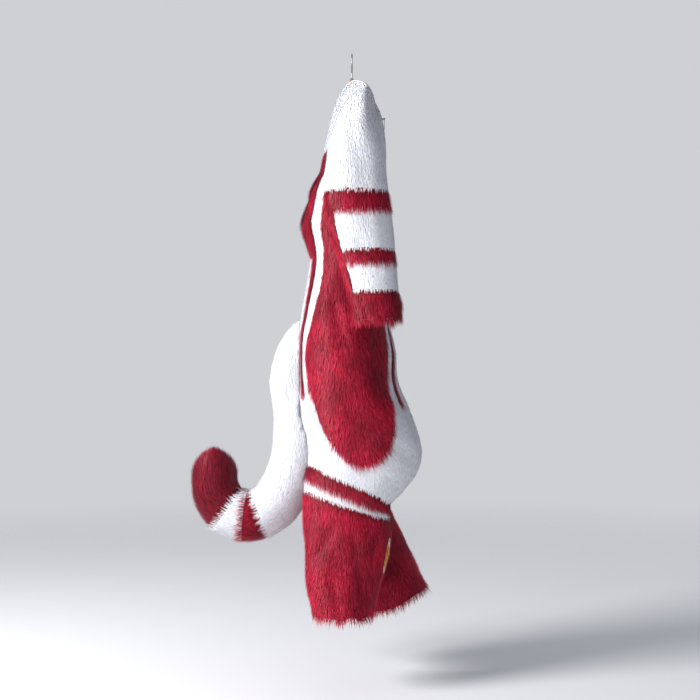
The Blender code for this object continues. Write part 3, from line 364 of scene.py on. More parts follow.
def makeWeaveMaterial(name, colour, thread):
    made, tree, shader = newMaterial(name, Roughness=0.85, Sheen_Weight=0.1)
    group = placeGroup(tree, weaveGroup, Colour=colour, Thread=thread)
    join(tree, group.outputs["Colour"], shader.inputs["Base Color"])
    addBump(tree, shader, group.outputs["Height"], 0.5, 0.4 * mm)
    return made


strandMaterials = {kind: makeStrandMaterial(kind) for kind in furKinds}
pileMaterials = {kind: makePileMaterial(kind) for kind in furKinds}
backingMaterial = makeWeaveMaterial("backingCloth", backing["colour"], 700.0)
print("materials of the fur ready")


# The strand: a flat blade of three triangles, one unit long, that bows down at its tip

def makeBlade():
    points = [(-0.5, 0, 0), (0.5, 0, 0), (0.34, 0.55, 0.05), (-0.34, 0.55, 0.05), (0, 1, 0.0)]
    mesh = bpy.data.meshes.new("blade")
    mesh.from_pydata(points, [], [(0, 1, 2, 3), (3, 2, 4)])
    along = mesh.attributes.new("along", "FLOAT", "POINT")
    along.data.foreach_set("value", [point[1] for point in points])
    blade = bpy.data.objects.new("blade", mesh)
    bpy.context.scene.collection.objects.link(blade)
    return blade


# Where the corners of a blade's two faces lie in its own square of the map for the bake
bladeMap = ((0.0, 0.0), (1.0, 0.0), (0.84, 0.55), (0.16, 0.55), (0.16, 0.55), (0.84, 0.55), (0.5, 1.0))
napName = "nap"
numberInputs = (
    ("Density", "density"),
    ("Length", "length"),
    ("Width", "width"),
    ("Lift", "lift"),
    ("Lift Spread", "liftSpread"),
    ("Swirl", "swirl"),
    ("Stray", "stray"),
)


def turnAlong(tree, out, along, angles):
    # Stands a copy on the surface, lays it along a direction, and turns it by three angles
    axes = addNode(tree, "FunctionNodeAxesToRotation", primary_axis="Z", secondary_axis="Y")
    join(tree, out, axes.inputs[0])
    join(tree, along, axes.inputs[1])
    asTurn = tree.nodes.new("FunctionNodeEulerToRotation")
    join(tree, angles, asTurn.inputs[0])
    turned = addNode(tree, "FunctionNodeRotateRotation", rotation_space="LOCAL")
    join(tree, axes.outputs[0], turned.inputs[0])
    join(tree, asTurn.outputs[0], turned.inputs[1])
    return turned.outputs[0]


def placeCopies(tree, given, points, shape, turn, size):
    # A copy of the named object on each point, made real and given its material
    source = tree.nodes.new("GeometryNodeObjectInfo")
    join(tree, given.outputs[shape], source.inputs["Object"])
    copies = tree.nodes.new("GeometryNodeInstanceOnPoints")
    join(tree, points, copies.inputs["Points"])
    join(tree, source.outputs["Geometry"], copies.inputs["Instance"])
    join(tree, turn, copies.inputs["Rotation"])
    join(tree, size, copies.inputs["Scale"])
    real = tree.nodes.new("GeometryNodeRealizeInstances")
    join(tree, copies.outputs[0], real.inputs[0])
    paint = tree.nodes.new("GeometryNodeSetMaterial")
    join(tree, real.outputs[0], paint.inputs["Geometry"])
    join(tree, given.outputs["Material"], paint.inputs["Material"])
    join(tree, paint.outputs[0], tree.nodes.new("NodeGroupOutput").inputs[0])


def makeFurTree():
    # Strands over a cloth, laid along its nap in uneven locks.
    tree = bpy.data.node_groups.new("furStrands", "GeometryNodeTree")
    new = tree.interface.new_socket
    new("Geometry", in_out="INPUT", socket_type="NodeSocketGeometry")
    new("Blade", in_out="INPUT", socket_type="NodeSocketObject")
    for label, _ in numberInputs:
        new(label, in_out="INPUT", socket_type="NodeSocketFloat")
    new("Seed", in_out="INPUT", socket_type="NodeSocketInt")
    new("Material", in_out="INPUT", socket_type="NodeSocketMaterial")
    new("Geometry", in_out="OUTPUT", socket_type="NodeSocketGeometry")
    given = tree.nodes.new("NodeGroupInput")

    def number(operation, first, second):
        return maths(tree, operation, first, second)

    def chance(low, high, shift):
        node = addNode(tree, "FunctionNodeRandomValue", data_type="FLOAT", in_2=low, in_3=high)
        join(tree, number("ADD", given.outputs["Seed"], shift), node.inputs["Seed"])
        return node.outputs[1]

    scatter = addNode(tree, "GeometryNodeDistributePointsOnFaces", distribute_method="RANDOM")
    for label, socket in (("Geometry", "Mesh"), ("Density", "Density"), ("Seed", "Seed")):
        join(tree, given.outputs[label], scatter.inputs[socket])
    nap = addNode(tree, "GeometryNodeInputNamedAttribute", data_type="FLOAT_VECTOR", in_0=napName)

    place = tree.nodes.new("GeometryNodeInputPosition").outputs[0]
    locks = addNoise(tree, place, 26.0, 2.0)
    fine = addNoise(tree, place, 120.0, 1.0)
    turnLocks = number("SUBTRACT", locks, 0.5)
    turnFine = number("MULTIPLY", number("SUBTRACT", fine, 0.5), 0.8)
    turn = number("MULTIPLY", number("ADD", turnLocks, turnFine), given.outputs["Swirl"])
    turn = number("ADD", turn, number("MULTIPLY", chance(-1.0, 1.0, 1), given.outputs["Stray"]))
    rise = number("MULTIPLY", chance(-1.0, 1.0, 2), given.outputs["Lift Spread"])
    rise = number("ADD", rise, given.outputs["Lift"])
    angles = tree.nodes.new("ShaderNodeCombineXYZ")
    join(tree, rise, angles.inputs[0])
    join(tree, turn, angles.inputs[2])
    turned = turnAlong(tree, scatter.outputs["Normal"], nap.outputs[0], angles.outputs[0])

    lockLength = number("ADD", number("MULTIPLY", fine, 0.9), 0.5)
    length = number("MULTIPLY", chance(0.7, 1.1, 3), lockLength)
    length = number("MULTIPLY", length, given.outputs["Length"])
    size = tree.nodes.new("ShaderNodeCombineXYZ")
    join(tree, number("MULTIPLY", chance(0.7, 1.25, 4), given.outputs["Width"]), size.inputs[0])
    join(tree, length, size.inputs[1])
    join(tree, length, size.inputs[2])

    named = addNode(tree, "GeometryNodeStoreNamedAttribute", data_type="FLOAT", domain="POINT")
    named.inputs["Name"].default_value = "tone"
    join(tree, scatter.outputs["Points"], named.inputs["Geometry"])
    join(tree, chance(0.0, 1.0, 5), named.inputs["Value"])
    placeCopies(tree, given, named.outputs[0], "Blade", turned, size.outputs[0])
    return tree


blade = makeBlade()
furTree = makeFurTree()


def socketId(tree, label):
    for item in tree.interface.items_tree:
        if item.item_type == "SOCKET" and item.in_out == "INPUT" and item.name == label:
            return item.identifier
    raise KeyError(label)


def makeFiner(obj, levels, rounds=2):
    # Subdivides a mesh so that the fine surface still passes through the first points
    first = np.array([point.co for point in obj.data.vertices])
    control = first.copy()
    for number in range(rounds + 1):
        obj.data.vertices.foreach_set("co", control.ravel())
        obj.data.update()
        finer = obj.modifiers.new("finer", "SUBSURF")
        finer.levels = finer.render_levels = levels
        finer.boundary_smooth = "ALL"
        finer.use_limit_surface = True
        mesh = plainMesh(obj, obj.name)
        obj.modifiers.clear()
        if number < rounds:
            fine = np.array([point.co for point in mesh.vertices[: len(first)]])
            control += (first - fine) * 0.9
            bpy.data.meshes.remove(mesh)
    obj.data = mesh
    return mesh


def plainMesh(obj, name):
    # The evaluated object as a plain mesh of its own.
    graph = bpy.context.evaluated_depsgraph_get()
    mesh = bpy.data.meshes.new_from_object(obj.evaluated_get(graph), depsgraph=graph)
    mesh.name = name
    return mesh


def linked(name, mesh):
    made = bpy.data.objects.new(name, mesh)
    bpy.context.scene.collection.objects.link(made)
    return made


def meshFrom(shape, name):
    mesh = bpy.data.meshes.new(name)
    shape.to_mesh(mesh)
    shape.free()
    return linked(name, mesh)


def joinTriangles(shape, bend):
    bmesh.ops.join_triangles(
        shape,
        faces=shape.faces,
        angle_face_threshold=math.radians(bend),
        angle_shape_threshold=math.radians(60),
    )


def storeVectors(mesh, label, values):
    store = mesh.attributes.new(label, "FLOAT_VECTOR", "POINT")
    store.data.foreach_set("vector", np.array(values, dtype=np.float32).ravel())


def dress(mesh, *materials):
    mesh.shade_smooth()
    mesh.materials.clear()
    for material in materials:
        mesh.materials.append(material)


def runTree(holder, tree, values, helpers):
    # Runs a tree on an object, and leaves the result as its plain mesh without the helper attributes
    modifier = holder.modifiers.new("copies", "NODES")
    modifier.node_group = tree
    for label, value in values.items():
        modifier[socketId(tree, label)] = value
    bpy.context.view_layer.update()
    mesh = plainMesh(holder, holder.name)
    holder.modifiers.clear()
    holder.data = mesh
    for label in helpers:
        if mesh.attributes.get(label):
            mesh.attributes.remove(mesh.attributes[label])
    return mesh


def mapStrands(mesh):
    # Gives each strand a small place of its own in a square map.
    count = len(mesh.polygons) // 2
    across = max(1, math.ceil(math.sqrt(count)))
    number = np.arange(count)
    corner = np.stack([number % across, number // across], axis=1)
    unit = np.array(bladeMap) * 0.8 + 0.1
    flat = (corner[:, None, :] + unit[None, :, :]) / across
    layer = mesh.uv_layers.new(name="OFBake")
    layer.data.foreach_set("uv", flat.astype(np.float32).ravel())


def growFur(cloth, kind, name, seedShift, **changes):
    look = {**furKinds[kind], **changes}
    holder = linked(name, cloth.data.copy())
    values = {label: float(look[key]) for label, key in numberInputs}
    values["Blade"] = blade
    values["Seed"] = look["seed"] + 17 * seedShift
    values["Material"] = strandMaterials[kind]
    mesh = runTree(holder, furTree, values, (napName,))
    if not mesh.materials:
        mesh.materials.append(strandMaterials[kind])
    mapStrands(mesh)
    return holder


# Cloth: each panel's own outer faces, made finer, set in by its pile, and creased

smoothing = {
    "levels": 2,
    "wallDepth": 16.5 * mm,
    "facing": -0.6,
    "bend": 0.62,
    "share": 0.12,
    "corner": -0.64,
    "hemLift": 12 * mm,
    "hemZone": 60 * mm,
    "merge": 0.01 * mm,
}

# Lines that the creases follow, near the surface. A crease that stands out has a positive depth
# Columns: first point and last point in metres, width and depth in mm
creases = (
    ((-0.20, -0.050, -0.112), (-0.09, -0.052, -0.118), 26, 9),
    ((-0.22, -0.065, -0.150), (-0.10, -0.070, -0.160), 26, 4),
    ((0.20, -0.050, -0.112), (0.09, -0.052, -0.118), 26, 8),
    ((0.22, -0.065, -0.150), (0.10, -0.070, -0.160), 26, 4),
    ((-0.33, 0.00, -0.24), (-0.33, -0.04, -0.40), 20, -3),
    ((-0.33, -0.07, -0.34), (-0.33, -0.09, -0.58), 18, -3),
    ((-0.33, 0.05, -0.47), (-0.33, -0.03, -0.53), 9, -4),
    ((-0.33, 0.03, -0.56), (-0.33, -0.07, -0.60), 10, -4),
    ((-0.24, 0.09, -0.34), (-0.30, 0.05, -0.46), 12, -5),
    ((-0.28, -0.12, -0.50), (-0.30, -0.12, -0.66), 12, -4),
    ((-0.33, -0.02, -0.66), (-0.33, -0.05, -0.74), 9, -3),
    ((-0.10, 0.13, -0.39), (0.06, 0.13, -0.405), 9, -8),
    ((-0.16, 0.12, -0.43), (-0.06, 0.14, -0.47), 12, -5),
    ((0.02, 0.13, -0.44), (0.15, 0.12, -0.48), 11, -5),
    ((-0.12, 0.11, -0.31), (0.02, 0.12, -0.33), 11, -4),
    ((-0.17, 0.13, -0.53), (0.02, 0.14, -0.565), 12, -5),
    ((-0.02, 0.14, -0.60), (0.17, 0.12, -0.57), 13, -5),
    ((-0.22, 0.075, -0.572), (-0.22, 0.01, -0.572), 4, -4),
    ((-0.22, -0.04, -0.44), (-0.22, -0.02, -0.60), 12, -4),
    ((-0.22, 0.06, -0.64), (-0.22, 0.02, -0.80), 15, -5),
    ((-0.22, -0.07, -0.70), (-0.22, -0.09, -0.86), 14, -4),
    ((-0.19, 0.09, -0.94), (-0.12, 0.13, -1.02), 14, -5),
    ((-0.20, -0.08, -1.02), (-0.16, -0.18, -1.09), 16, -5),
    ((-0.20, -0.02, -1.10), (-0.12, -0.17, -1.15), 10, -5),
    ((-0.20, 0.05, -1.24), (-0.17, 0.11, -1.34), 13, -6),
    ((-0.20, 0.00, -1.26), (-0.20, -0.03, -1.40), 15, -5),
    ((-0.21, 0.06, -1.36), (-0.20, 0.03, -1.46), 14, -5),
    ((-0.19, -0.07, -1.25), (-0.20, -0.06, -1.34), 12, -4),
    ((-0.12, 0.13, -1.28), (-0.08, 0.12, -1.42), 14, -5),
    ((-0.10, -0.11, -0.22), (-0.03, -0.11, -0.36), 16, -5),
    ((0.05, -0.11, -0.26), (0.12, -0.10, -0.42), 15, -5),
    ((-0.14, -0.12, -0.46), (-0.05, -0.12, -0.55), 14, -4),
    ((0.04, -0.12, -0.60), (0.15, -0.11, -0.52), 14, -5),
    ((-0.13, -0.13, -0.70), (-0.04, -0.13, -0.76), 13, -5),
    ((0.04, -0.13, -0.72), (0.14, -0.12, -0.80), 14, -5),
    ((-0.09, -0.16, -0.90), (-0.15, -0.17, -1.00), 15, -4),
    ((0.07, -0.16, -0.92), (0.14, -0.17, -1.03), 15, -5),
    ((0.33, 0.01, -0.26), (0.33, -0.05, -0.44), 16, -4),
    ((0.33, 0.04, -0.50), (0.33, -0.04, -0.54), 9, -4),
    ((0.33, 0.01, -0.59), (0.33, -0.08, -0.62), 10, -5),
    ((0.24, 0.09, -0.36), (0.30, 0.04, -0.49), 12, -5),
    ((0.28, -0.13, -0.52), (0.30, -0.12, -0.68), 12, -4),
    ((0.22, 0.02, -0.50), (0.22, -0.03, -0.66), 13, -4),
    ((0.22, 0.06, -0.70), (0.22, -0.02, -0.82), 15, -5),
    ((0.19, 0.09, -0.92), (0.13, 0.13, -1.03), 14, -5),
    ((0.20, -0.09, -1.04), (0.15, -0.18, -1.10), 16, -5),
    ((0.20, -0.04, -1.25), (0.20, -0.09, -1.38), 14, -5),
    ((0.20, -0.12, -1.36), (0.19, -0.16, -1.46), 13, -5),
    ((0.12, 0.08, -1.28), (0.09, 0.04, -1.42), 14, -5),
    ((0.10, -0.19, -1.40), (0.14, -0.21, -1.47), 12, -4),
)

# Where the pieces' middles are: the trunk, a leg and a sleeve, at a few heights
# Columns: height, depth of the middle
middles = {
    "trunk": ((-0.10, 0.0), (-0.84, 0.01)),
    "leg_R": ((-0.80, 0.01), (-1.05, -0.03), (-1.20, 0.012), (-1.50, 0.024)),
    "leg_L": ((-0.80, 0.01), (-1.05, -0.033), (-1.20, 0.0), (-1.30, -0.026), (-1.50, -0.098)),
    "sleeve": ((-0.15, -0.02), (-0.45, -0.02), (-0.60, -0.05), (-0.75, -0.06)),
}
legMiddle = 0.108
sleeveMiddle = 0.273
crotchHeight = -0.836


def middleOf(node, point):
    # The middle of the tube that this point of a panel goes round.
    side = sides.get(node[-1], 0)
    kind = "trunk"
    across = 0.0
    if any(word in node for word in ("sleeve", "forearm", "cuff")):
        kind, across = "sleeve", side * sleeveMiddle
    elif side and (point.z < crotchHeight or "leg" in node or "knee" in node):
        kind, across = f"leg_{node[-1]}", side * legMiddle
    rows = middles[kind]
    heights = [-row[0] for row in rows]
    depths = [row[1] for row in rows]
    return Vector((across, float(np.interp(-point.z, heights, depths)), point.z))


def mergedCopy(node):
    shape = bmesh.new()
    shape.from_mesh(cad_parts[node].data)
    bmesh.ops.remove_doubles(shape, verts=shape.verts, dist=smoothing["merge"])
    shape.normal_update()
    return shape


def wallFacesOf(shape):
    # Faces with the other side of the wall close behind them, which the rims don't have
    tree = BVHTree.FromBMesh(shape)
    found = set()
    for face in shape.faces:
        start = face.calc_center_median() - face.normal * 0.05 * mm
        _, normal, _, distance = tree.ray_cast(start, -face.normal, smoothing["wallDepth"])
        if distance is not None and normal.dot(face.normal) < smoothing["facing"]:
            found.add(face)
    return found


def markCorners(shape):
    # The edge of a panel runs smooth but for its real corners
    sharp = shape.verts.layers.float.new("crease_vert")
    for point in shape.verts:
        rims = [edge for edge in point.link_edges if edge.is_boundary]
        if len(rims) == 2:
            first, second = ((edge.other_vert(point).co - point.co).normalized() for edge in rims)
            if first.dot(second) > smoothing["corner"]:
                point[sharp] = 1.0


def outerFaces(node):
    # The outer side of a panel's wall, without its rims and its inner side
    shape = mergedCopy(node)
    left = wallFacesOf(shape)
    groups = []
    while left:
        first = left.pop()
        group, queue = [first], [first]
        while queue:
            here = queue.pop()
            for edge in here.edges:
                for face in edge.link_faces:
                    if face in left and face.normal.dot(here.normal) > smoothing["bend"]:
                        left.remove(face)
                        group.append(face)
                        queue.append(face)
        facing = 0.0
        for face in group:
            centre = face.calc_center_median()
            out = centre - middleOf(node, centre)
            facing += face.calc_area() * face.normal.dot(out.normalized())
        groups.append((facing, group))
    most = max(facing for facing, _ in groups)
    keep = set()
    for facing, group in groups:
        if facing > most * smoothing["share"]:
            keep.update(group)
    bmesh.ops.delete(shape, geom=[face for face in shape.faces if face not in keep], context="FACES")
    joinTriangles(shape, 40)
    markCorners(shape)
    return shape


# The tail's middle line from its root to its tip. Columns: back, drop and radius, in mm
tailLine = (
    (105, 735, 42),
    (140, 790, 60),
    (158, 870, 66),
    (152, 940, 65),
    (148, 1010, 65),
    (152, 1075, 66),
    (168, 1140, 69),
    (200, 1202, 73),
    (245, 1235, 74),
    (290, 1241, 74),
    (333, 1226, 72),
    (360, 1192, 70),
    (370, 1158, 67),
    (371, 1130, 65),
)


def tailAt(point):
    # How far along the tail a point is, the middle there, and the way to the tip
    best = None
    for number, (first, second) in enumerate(zip(tailLine, tailLine[1:])):
        start = Vector((0, first[0], -first[1])) * mm
        line = Vector((0, second[0], -second[1])) * mm - start
        share = (point - start).dot(line) / line.length_squared
        share = min(max(share, 0.0), 1.0)
        near = start + line * share
        away = (point - near).length
        if best is None or away < best[0]:
            best = (away, number + share, near, line.normalized())
    return best[1:]


def tailNap(point, normal):
    line = tailAt(point)[2]
    flat = line - normal * line.dot(normal)
    return flat.normalized() if flat.length > 1e-3 else Vector((0, 0.3, 1)).normalized()


def napAt(node, point, normal):
    # Which way the pile is combed: down, and along the tail to its tip.
    if node.startswith("tail"):
        return tailNap(point, normal)
    down = Vector((0, 0, -1))
    side = math.copysign(1.0, point.x)
    down.x += side * 0.9 * max(normal.z, 0.0)
    down.y += -0.25 * max(normal.z, 0.0)
    if "lower_leg" in node:
        out = point - middleOf(node, point)
        down.y += 3.2 * out.y
        down.x += 0.6 * out.x
    if "side_panel" in node:
        down.y += (4.5 if point.z < -0.85 else 1.5) * (point.y - 0.01)
    flat = down - normal * down.dot(normal)
    return flat.normalized() if flat.length > 1e-4 else Vector((0, 0, -1))


def crease(point):
    # How far the creases move a point of the cloth outwards.
    shift = 0.0
    for first, last, width, depth in creases:
        start, line = Vector(first), Vector(last) - Vector(first)
        share = (point - start).dot(line) / line.length_squared
        if not -0.4 < share < 1.4:
            continue
        near = start + line * min(max(share, 0.0), 1.0)
        away = point - near
        if away.length > 0.09:
            continue
        # The line is drawn near the cloth, so only the distance across it on the cloth counts
        flat = Vector((near.x, near.y, 0)) if abs(near.x) < 0.26 else Vector((near.x, 0, 0))
        out = flat.normalized()
        across = (away - out * away.dot(out)).length / mm
        ends = math.sin(math.pi * min(max((share + 0.15) / 1.3, 0.0), 1.0)) ** 0.6
        shift += depth * mm * ends * math.exp(-((across / width) ** 2))
    return shift


def liftHem(shape):
    # The cloth ends above its fringe, so the points near the hem move up by a share of that
    heights = [point.co.z for point in shape.verts]
    middle = (min(heights) + max(heights)) / 2
    rim = [point.co.copy() for point in shape.verts if point.is_boundary and point.co.z < middle]
    zone, lift = smoothing["hemZone"], smoothing["hemLift"]
    for point in shape.verts:
        near = min(rim, key=lambda spot: math.hypot(spot.x - point.co.x, spot.y - point.co.y))
        above = point.co.z - near.z
        if above < zone:
            point.co.z = near.z + lift + above * (zone - lift) / zone


def makeCloth(node, kind, hemmed):
    # A thin shell in the place of a panel, under the tips of its pile.
    shape = outerFaces(node)
    if hemmed:
        liftHem(shape)
    cloth = meshFrom(shape, f"{node}_cloth")
    mesh = makeFiner(cloth, smoothing["levels"])
    inset = furKinds[kind]["pile"] - backing["height"]
    count = len(mesh.vertices)
    points = [point.co.copy() for point in mesh.vertices]
    normals = [point.normal.copy() for point in mesh.vertices]
    moved = np.empty((count, 3))
    naps = np.empty((count, 3))
    for number, (point, normal) in enumerate(zip(points, normals)):
        ripple = noise.noise(point * 16.0) * 1.4 * mm
        if kind == "red":
            ripple += noise.noise(point * 9.0 + Vector((4.0, 1.0, 7.0))) * 3.2 * mm
        moved[number] = point + normal * (crease(point) + ripple - inset)
        naps[number] = napAt(node, point, normal)
    mesh.vertices.foreach_set("co", moved.ravel())
    storeVectors(mesh, napName, naps)
    mesh.update()
    dress(mesh, pileMaterials[kind], backingMaterial)
    return cloth


def turnSeamsIn(cloth):
    # Each edge of the cloth is turned under by its seam allowance, so no gap shows between panels
    shape = bmesh.new()
    shape.from_mesh(cloth.data)
    shape.normal_update()
    edges = [edge for edge in shape.edges if edge.is_boundary]
    ways = {}
    for edge in edges:
        face = edge.link_faces[0]
        line = edge.verts[1].co - edge.verts[0].co
        away = line.cross(face.normal).normalized()
        middle = (edge.verts[0].co + edge.verts[1].co) / 2
        if away.dot(middle - face.calc_center_median()) < 0:
            away.negate()
        for point in edge.verts:
            ways.setdefault(point, []).append((away, face.normal.copy()))
    turned = {}
    for point, pairs in ways.items():
        away = sum((pair[0] for pair in pairs), Vector()).normalized()
        normal = sum((pair[1] for pair in pairs), Vector()).normalized()
        place = point.co + away * backing["seamOut"] - normal * backing["seamDown"]
        turned[point] = shape.verts.new(place)
    for edge in edges:
        loop = edge.link_loops[0]
        first, second = loop.vert, loop.link_loop_next.vert
        strip = shape.faces.new((second, first, turned[first], turned[second]))
        strip.smooth = True
    shape.to_mesh(cloth.data)
    shape.free()
    cloth.data.update()


def thicken(cloth, thickness):
    wall = cloth.modifiers.new("wall", "SOLIDIFY")
    wall.thickness = thickness
    wall.offset = -1
    wall.use_even_offset = False
    wall.material_offset = 1
    wall.material_offset_rim = 0
    mesh = plainMesh(cloth, cloth.name)
    cloth.modifiers.clear()
    cloth.data = mesh
    mesh.attributes.remove(mesh.attributes[napName])


# Panels: fur, the cut's width and length in metres, the share of that box that it fills,
# and what holds it up
panelTable = {
    "back_shoulder": ("white", 0.44, 0.22, 0.77, "hanger"),
    "front_R": ("white", 0.3, 1.1, 0.62, "hanger"),
    "front_L": ("white", 0.3, 1.1, 0.62, "hanger"),
    "back_R": ("white", 0.21, 0.88, 0.67, "back_shoulder"),
    "back_L": ("white", 0.21, 0.88, 0.67, "back_shoulder"),
    "back_yoke": ("red", 0.3, 0.3, 0.89, "back_shoulder"),
    "side_panel_R": ("red", 0.23, 0.77, 0.8, "front_R"),
    "side_panel_L": ("red", 0.23, 0.77, 0.8, "front_L"),
    "front_stripe_R": ("red", 0.018, 0.63, 0.98, "front_R"),
    "front_stripe_L": ("red", 0.018, 0.63, 0.98, "front_L"),
    "back_stripe_R": ("red", 0.026, 0.37, 1.0, "back_R"),
    "back_stripe_L": ("red", 0.026, 0.37, 1.0, "back_L"),
    "sleeve_cap_R": ("white", 0.33, 0.3, 0.83, "hanger"),
    "sleeve_cap_L": ("white", 0.33, 0.3, 0.83, "hanger"),
    "sleeve_band_upper_R": ("red", 0.245, 0.043, 1.0, "sleeve_cap_R"),
    "sleeve_band_upper_L": ("red", 0.245, 0.043, 1.0, "sleeve_cap_L"),
    "sleeve_middle_R": ("white", 0.235, 0.098, 0.97, "sleeve_band_upper_R"),
    "sleeve_middle_L": ("white", 0.235, 0.098, 0.97, "sleeve_band_upper_L"),
    "sleeve_band_lower_R": ("red", 0.21, 0.03, 1.0, "sleeve_middle_R"),
    "sleeve_band_lower_L": ("red", 0.21, 0.03, 1.0, "sleeve_middle_L"),
    "under_sleeve_R": ("red", 0.155, 0.25, 0.91, "sleeve_cap_R"),
    "under_sleeve_L": ("red", 0.155, 0.25, 0.91, "sleeve_cap_L"),
    "forearm_R": ("white", 0.22, 0.071, 0.91, "sleeve_band_lower_R"),
    "forearm_L": ("white", 0.22, 0.071, 0.91, "sleeve_band_lower_L"),
    "cuff_R": ("red", 0.32, 0.08, 0.88, "forearm_R"),
    "cuff_L": ("red", 0.32, 0.08, 0.88, "forearm_L"),
    "knee_band_R": ("red", 0.6, 0.033, 0.92, "front_R"),
    "knee_band_L": ("red", 0.6, 0.033, 0.9, "front_L"),
    "knee_ring_R": ("white", 0.56, 0.03, 0.94, "knee_band_R"),
    "knee_ring_L": ("white", 0.56, 0.03, 0.9, "knee_band_L"),
    "lower_leg_R": ("red", 0.56, 0.32, 0.87, "knee_ring_R"),
    "lower_leg_L": ("red", 0.56, 0.36, 0.865, "knee_ring_L"),
}
hemmedPanels = ("cuff", "lower_leg")


def settle(pieces, body=suitBody):
    for piece in pieces:
        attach(piece, body)


def hang(cloth, fur, node):
    # Puts a furred panel's cloth and fur on the suit, hides the part it replaces and prints its count of
    # strands
    settle((cloth, fur))
    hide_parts(node)
    print(node, "strands", len(fur.data.polygons) // 2)


for order, (node, (kind, width, length, share, above)) in enumerate(panelTable.items()):
    cloth = makeCloth(node, kind, node.startswith(hemmedPanels))
    fur = growFur(cloth, kind, f"{node}_fur", order)
    turnSeamsIn(cloth)
    thicken(cloth, backing["thickness"])
    hang(cloth, fur, node)
print("panels and their fur ready")


# Shin patches: short yellow pile with a white border, sewn on each lower leg
patchSettings = {"cut": (0.0205, 0.085, 0.79), "border": 0.74, "thickness": 1.2 * mm}


def makePatch(node, order):
    shape = mergedCopy(node)
    hidden = []
    for face in shape.faces:
        centre = face.calc_center_median()
        if face.normal.dot(centre - middleOf(node, centre)) < 0.25 * legMiddle:
            hidden.append(face)
    bmesh.ops.delete(shape, geom=hidden, context="FACES")
    cloth = meshFrom(shape, f"{node}_cloth")
    mesh = makeFiner(cloth, 3)
    points = np.array([point.co for point in mesh.vertices])
    centre = (points.max(axis=0) + points.min(axis=0)) / 2
    half = (points.max(axis=0) - points.min(axis=0)) / 2
    flatX = np.hypot(points[:, 0] - centre[0], points[:, 1] - centre[1]) / math.hypot(half[0], half[1])
    reach = np.hypot(flatX, (points[:, 2] - centre[2]) / half[2])
    rim = mesh.attributes.new("rim", "FLOAT", "POINT")
    rim.data.foreach_set("value", (reach > patchSettings["border"]).astype(np.float32))
    storeVectors(mesh, napName, [napAt(node, point.co, point.normal) for point in mesh.vertices])
    dress(mesh, pileMaterials["yellow"], backingMaterial)
    fur = growFur(cloth, "yellow", f"{node}_fur", order)
    thicken(cloth, patchSettings["thickness"])
    hang(cloth, fur, node)


for order, side in enumerate(sides):
    makePatch(f"shin_patch_{side}", 50 + order)


# Tail: four stuffed lengths, furred along the tail towards its tip
tailTable = {
    "tail_base": ("white", 0.8, {"density": 62000, "length": 22 * mm}),
    "tail_ring_red": ("red", 0.8, {"density": 100000, "length": 32 * mm}),
    "tail_ring_white": ("white", 0.8, {"density": 66000, "length": 24 * mm}),
    # The tip's fur is a darker red: painted shade where the light falls off
    "tail_tip": ("deepRed", 0.75, {"density": 98000, "length": 32 * mm}),
}


def makeTailPiece(node, kind, changes, order):
    shape = mergedCopy(node)
    joinTriangles(shape, 40)
    shape.normal_update()
    places = [tailAt(face.calc_center_median()) for face in shape.faces]
    along = [place[0] for place in places]
    middle = (min(along) + max(along)) / 2
    discs = set()
    for face, (how, _, line) in zip(shape.faces, places):
        closedEnd = node == "tail_tip" and how > middle
        if abs(face.normal.dot(line)) > 0.9 and not closedEnd:
            discs.add(face.index)
    firm = shape.edges.layers.float.new("crease_edge")
    for edge in shape.edges:
        ends = {face.index in discs for face in edge.link_faces}
        if len(ends) == 2:
            edge[firm] = 1.0
    inset = furKinds[kind]["pile"] - backing["height"]
    for point in shape.verts:
        _, centre, _ = tailAt(point.co)
        out = point.co - centre
        if out.length > inset:
            point.co -= out.normalized() * inset * min(1.0, out.length / 0.04)
    mesh = bpy.data.meshes.new(f"{node}_pad")
    shape.to_mesh(mesh)
    for face in [face for face in shape.faces if face.index in discs]:
        shape.faces.remove(face)
    sleeve = bpy.data.meshes.new(f"{node}_skin")
    shape.to_mesh(sleeve)
    shape.free()
    made = []
    for label, part in ((f"{node}_pad", mesh), (f"{node}_skin", sleeve)):
        piece = linked(label, part)
        fine = makeFiner(piece, 2, rounds=0)
        for point in fine.vertices:
            lumps = noise.noise(point.co * 13.0) * 2.2 * mm
            point.co += point.normal * lumps
        dress(fine, pileMaterials[kind])
        made.append(piece)
    pad, skin = made
    storeVectors(skin.data, napName, [tailNap(point.co, point.normal) for point in skin.data.vertices])
    fur = growFur(skin, kind, f"{node}_fur", order, **changes)
    bpy.data.objects.remove(skin)
    settle((pad, fur))
    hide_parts(node)
    print(node, "strands", len(fur.data.polygons) // 2)


for order, (node, (kind, fill, changes)) in enumerate(tailTable.items()):
    makeTailPiece(node, kind, changes, 60 + order)
bpy.data.objects.remove(blade)
print("tail ready")


# Metal, wood and the zip
hardware = {
    "bevel": 0.35 * mm,
    "metal": (0.62, 0.62, 0.64, 1),
    "wire": (0.30, 0.28, 0.26, 1),
    "wood": (0.50, 0.27, 0.11, 1),
    "woodDark": (0.26, 0.12, 0.04, 1),
    "tape": (0.78, 0.77, 0.76, 1),
}
zipSettings = {
    "pitch": 2.4 * mm,
    "top": -0.1760,
    "bottom": -0.797,
    "reach": 2.7 * mm,
    "overlap": 0.8 * mm,
    "half": 0.62 * mm,
    "height": 1.1 * mm,
    "tapeCut": (0.012, 0.69),
}


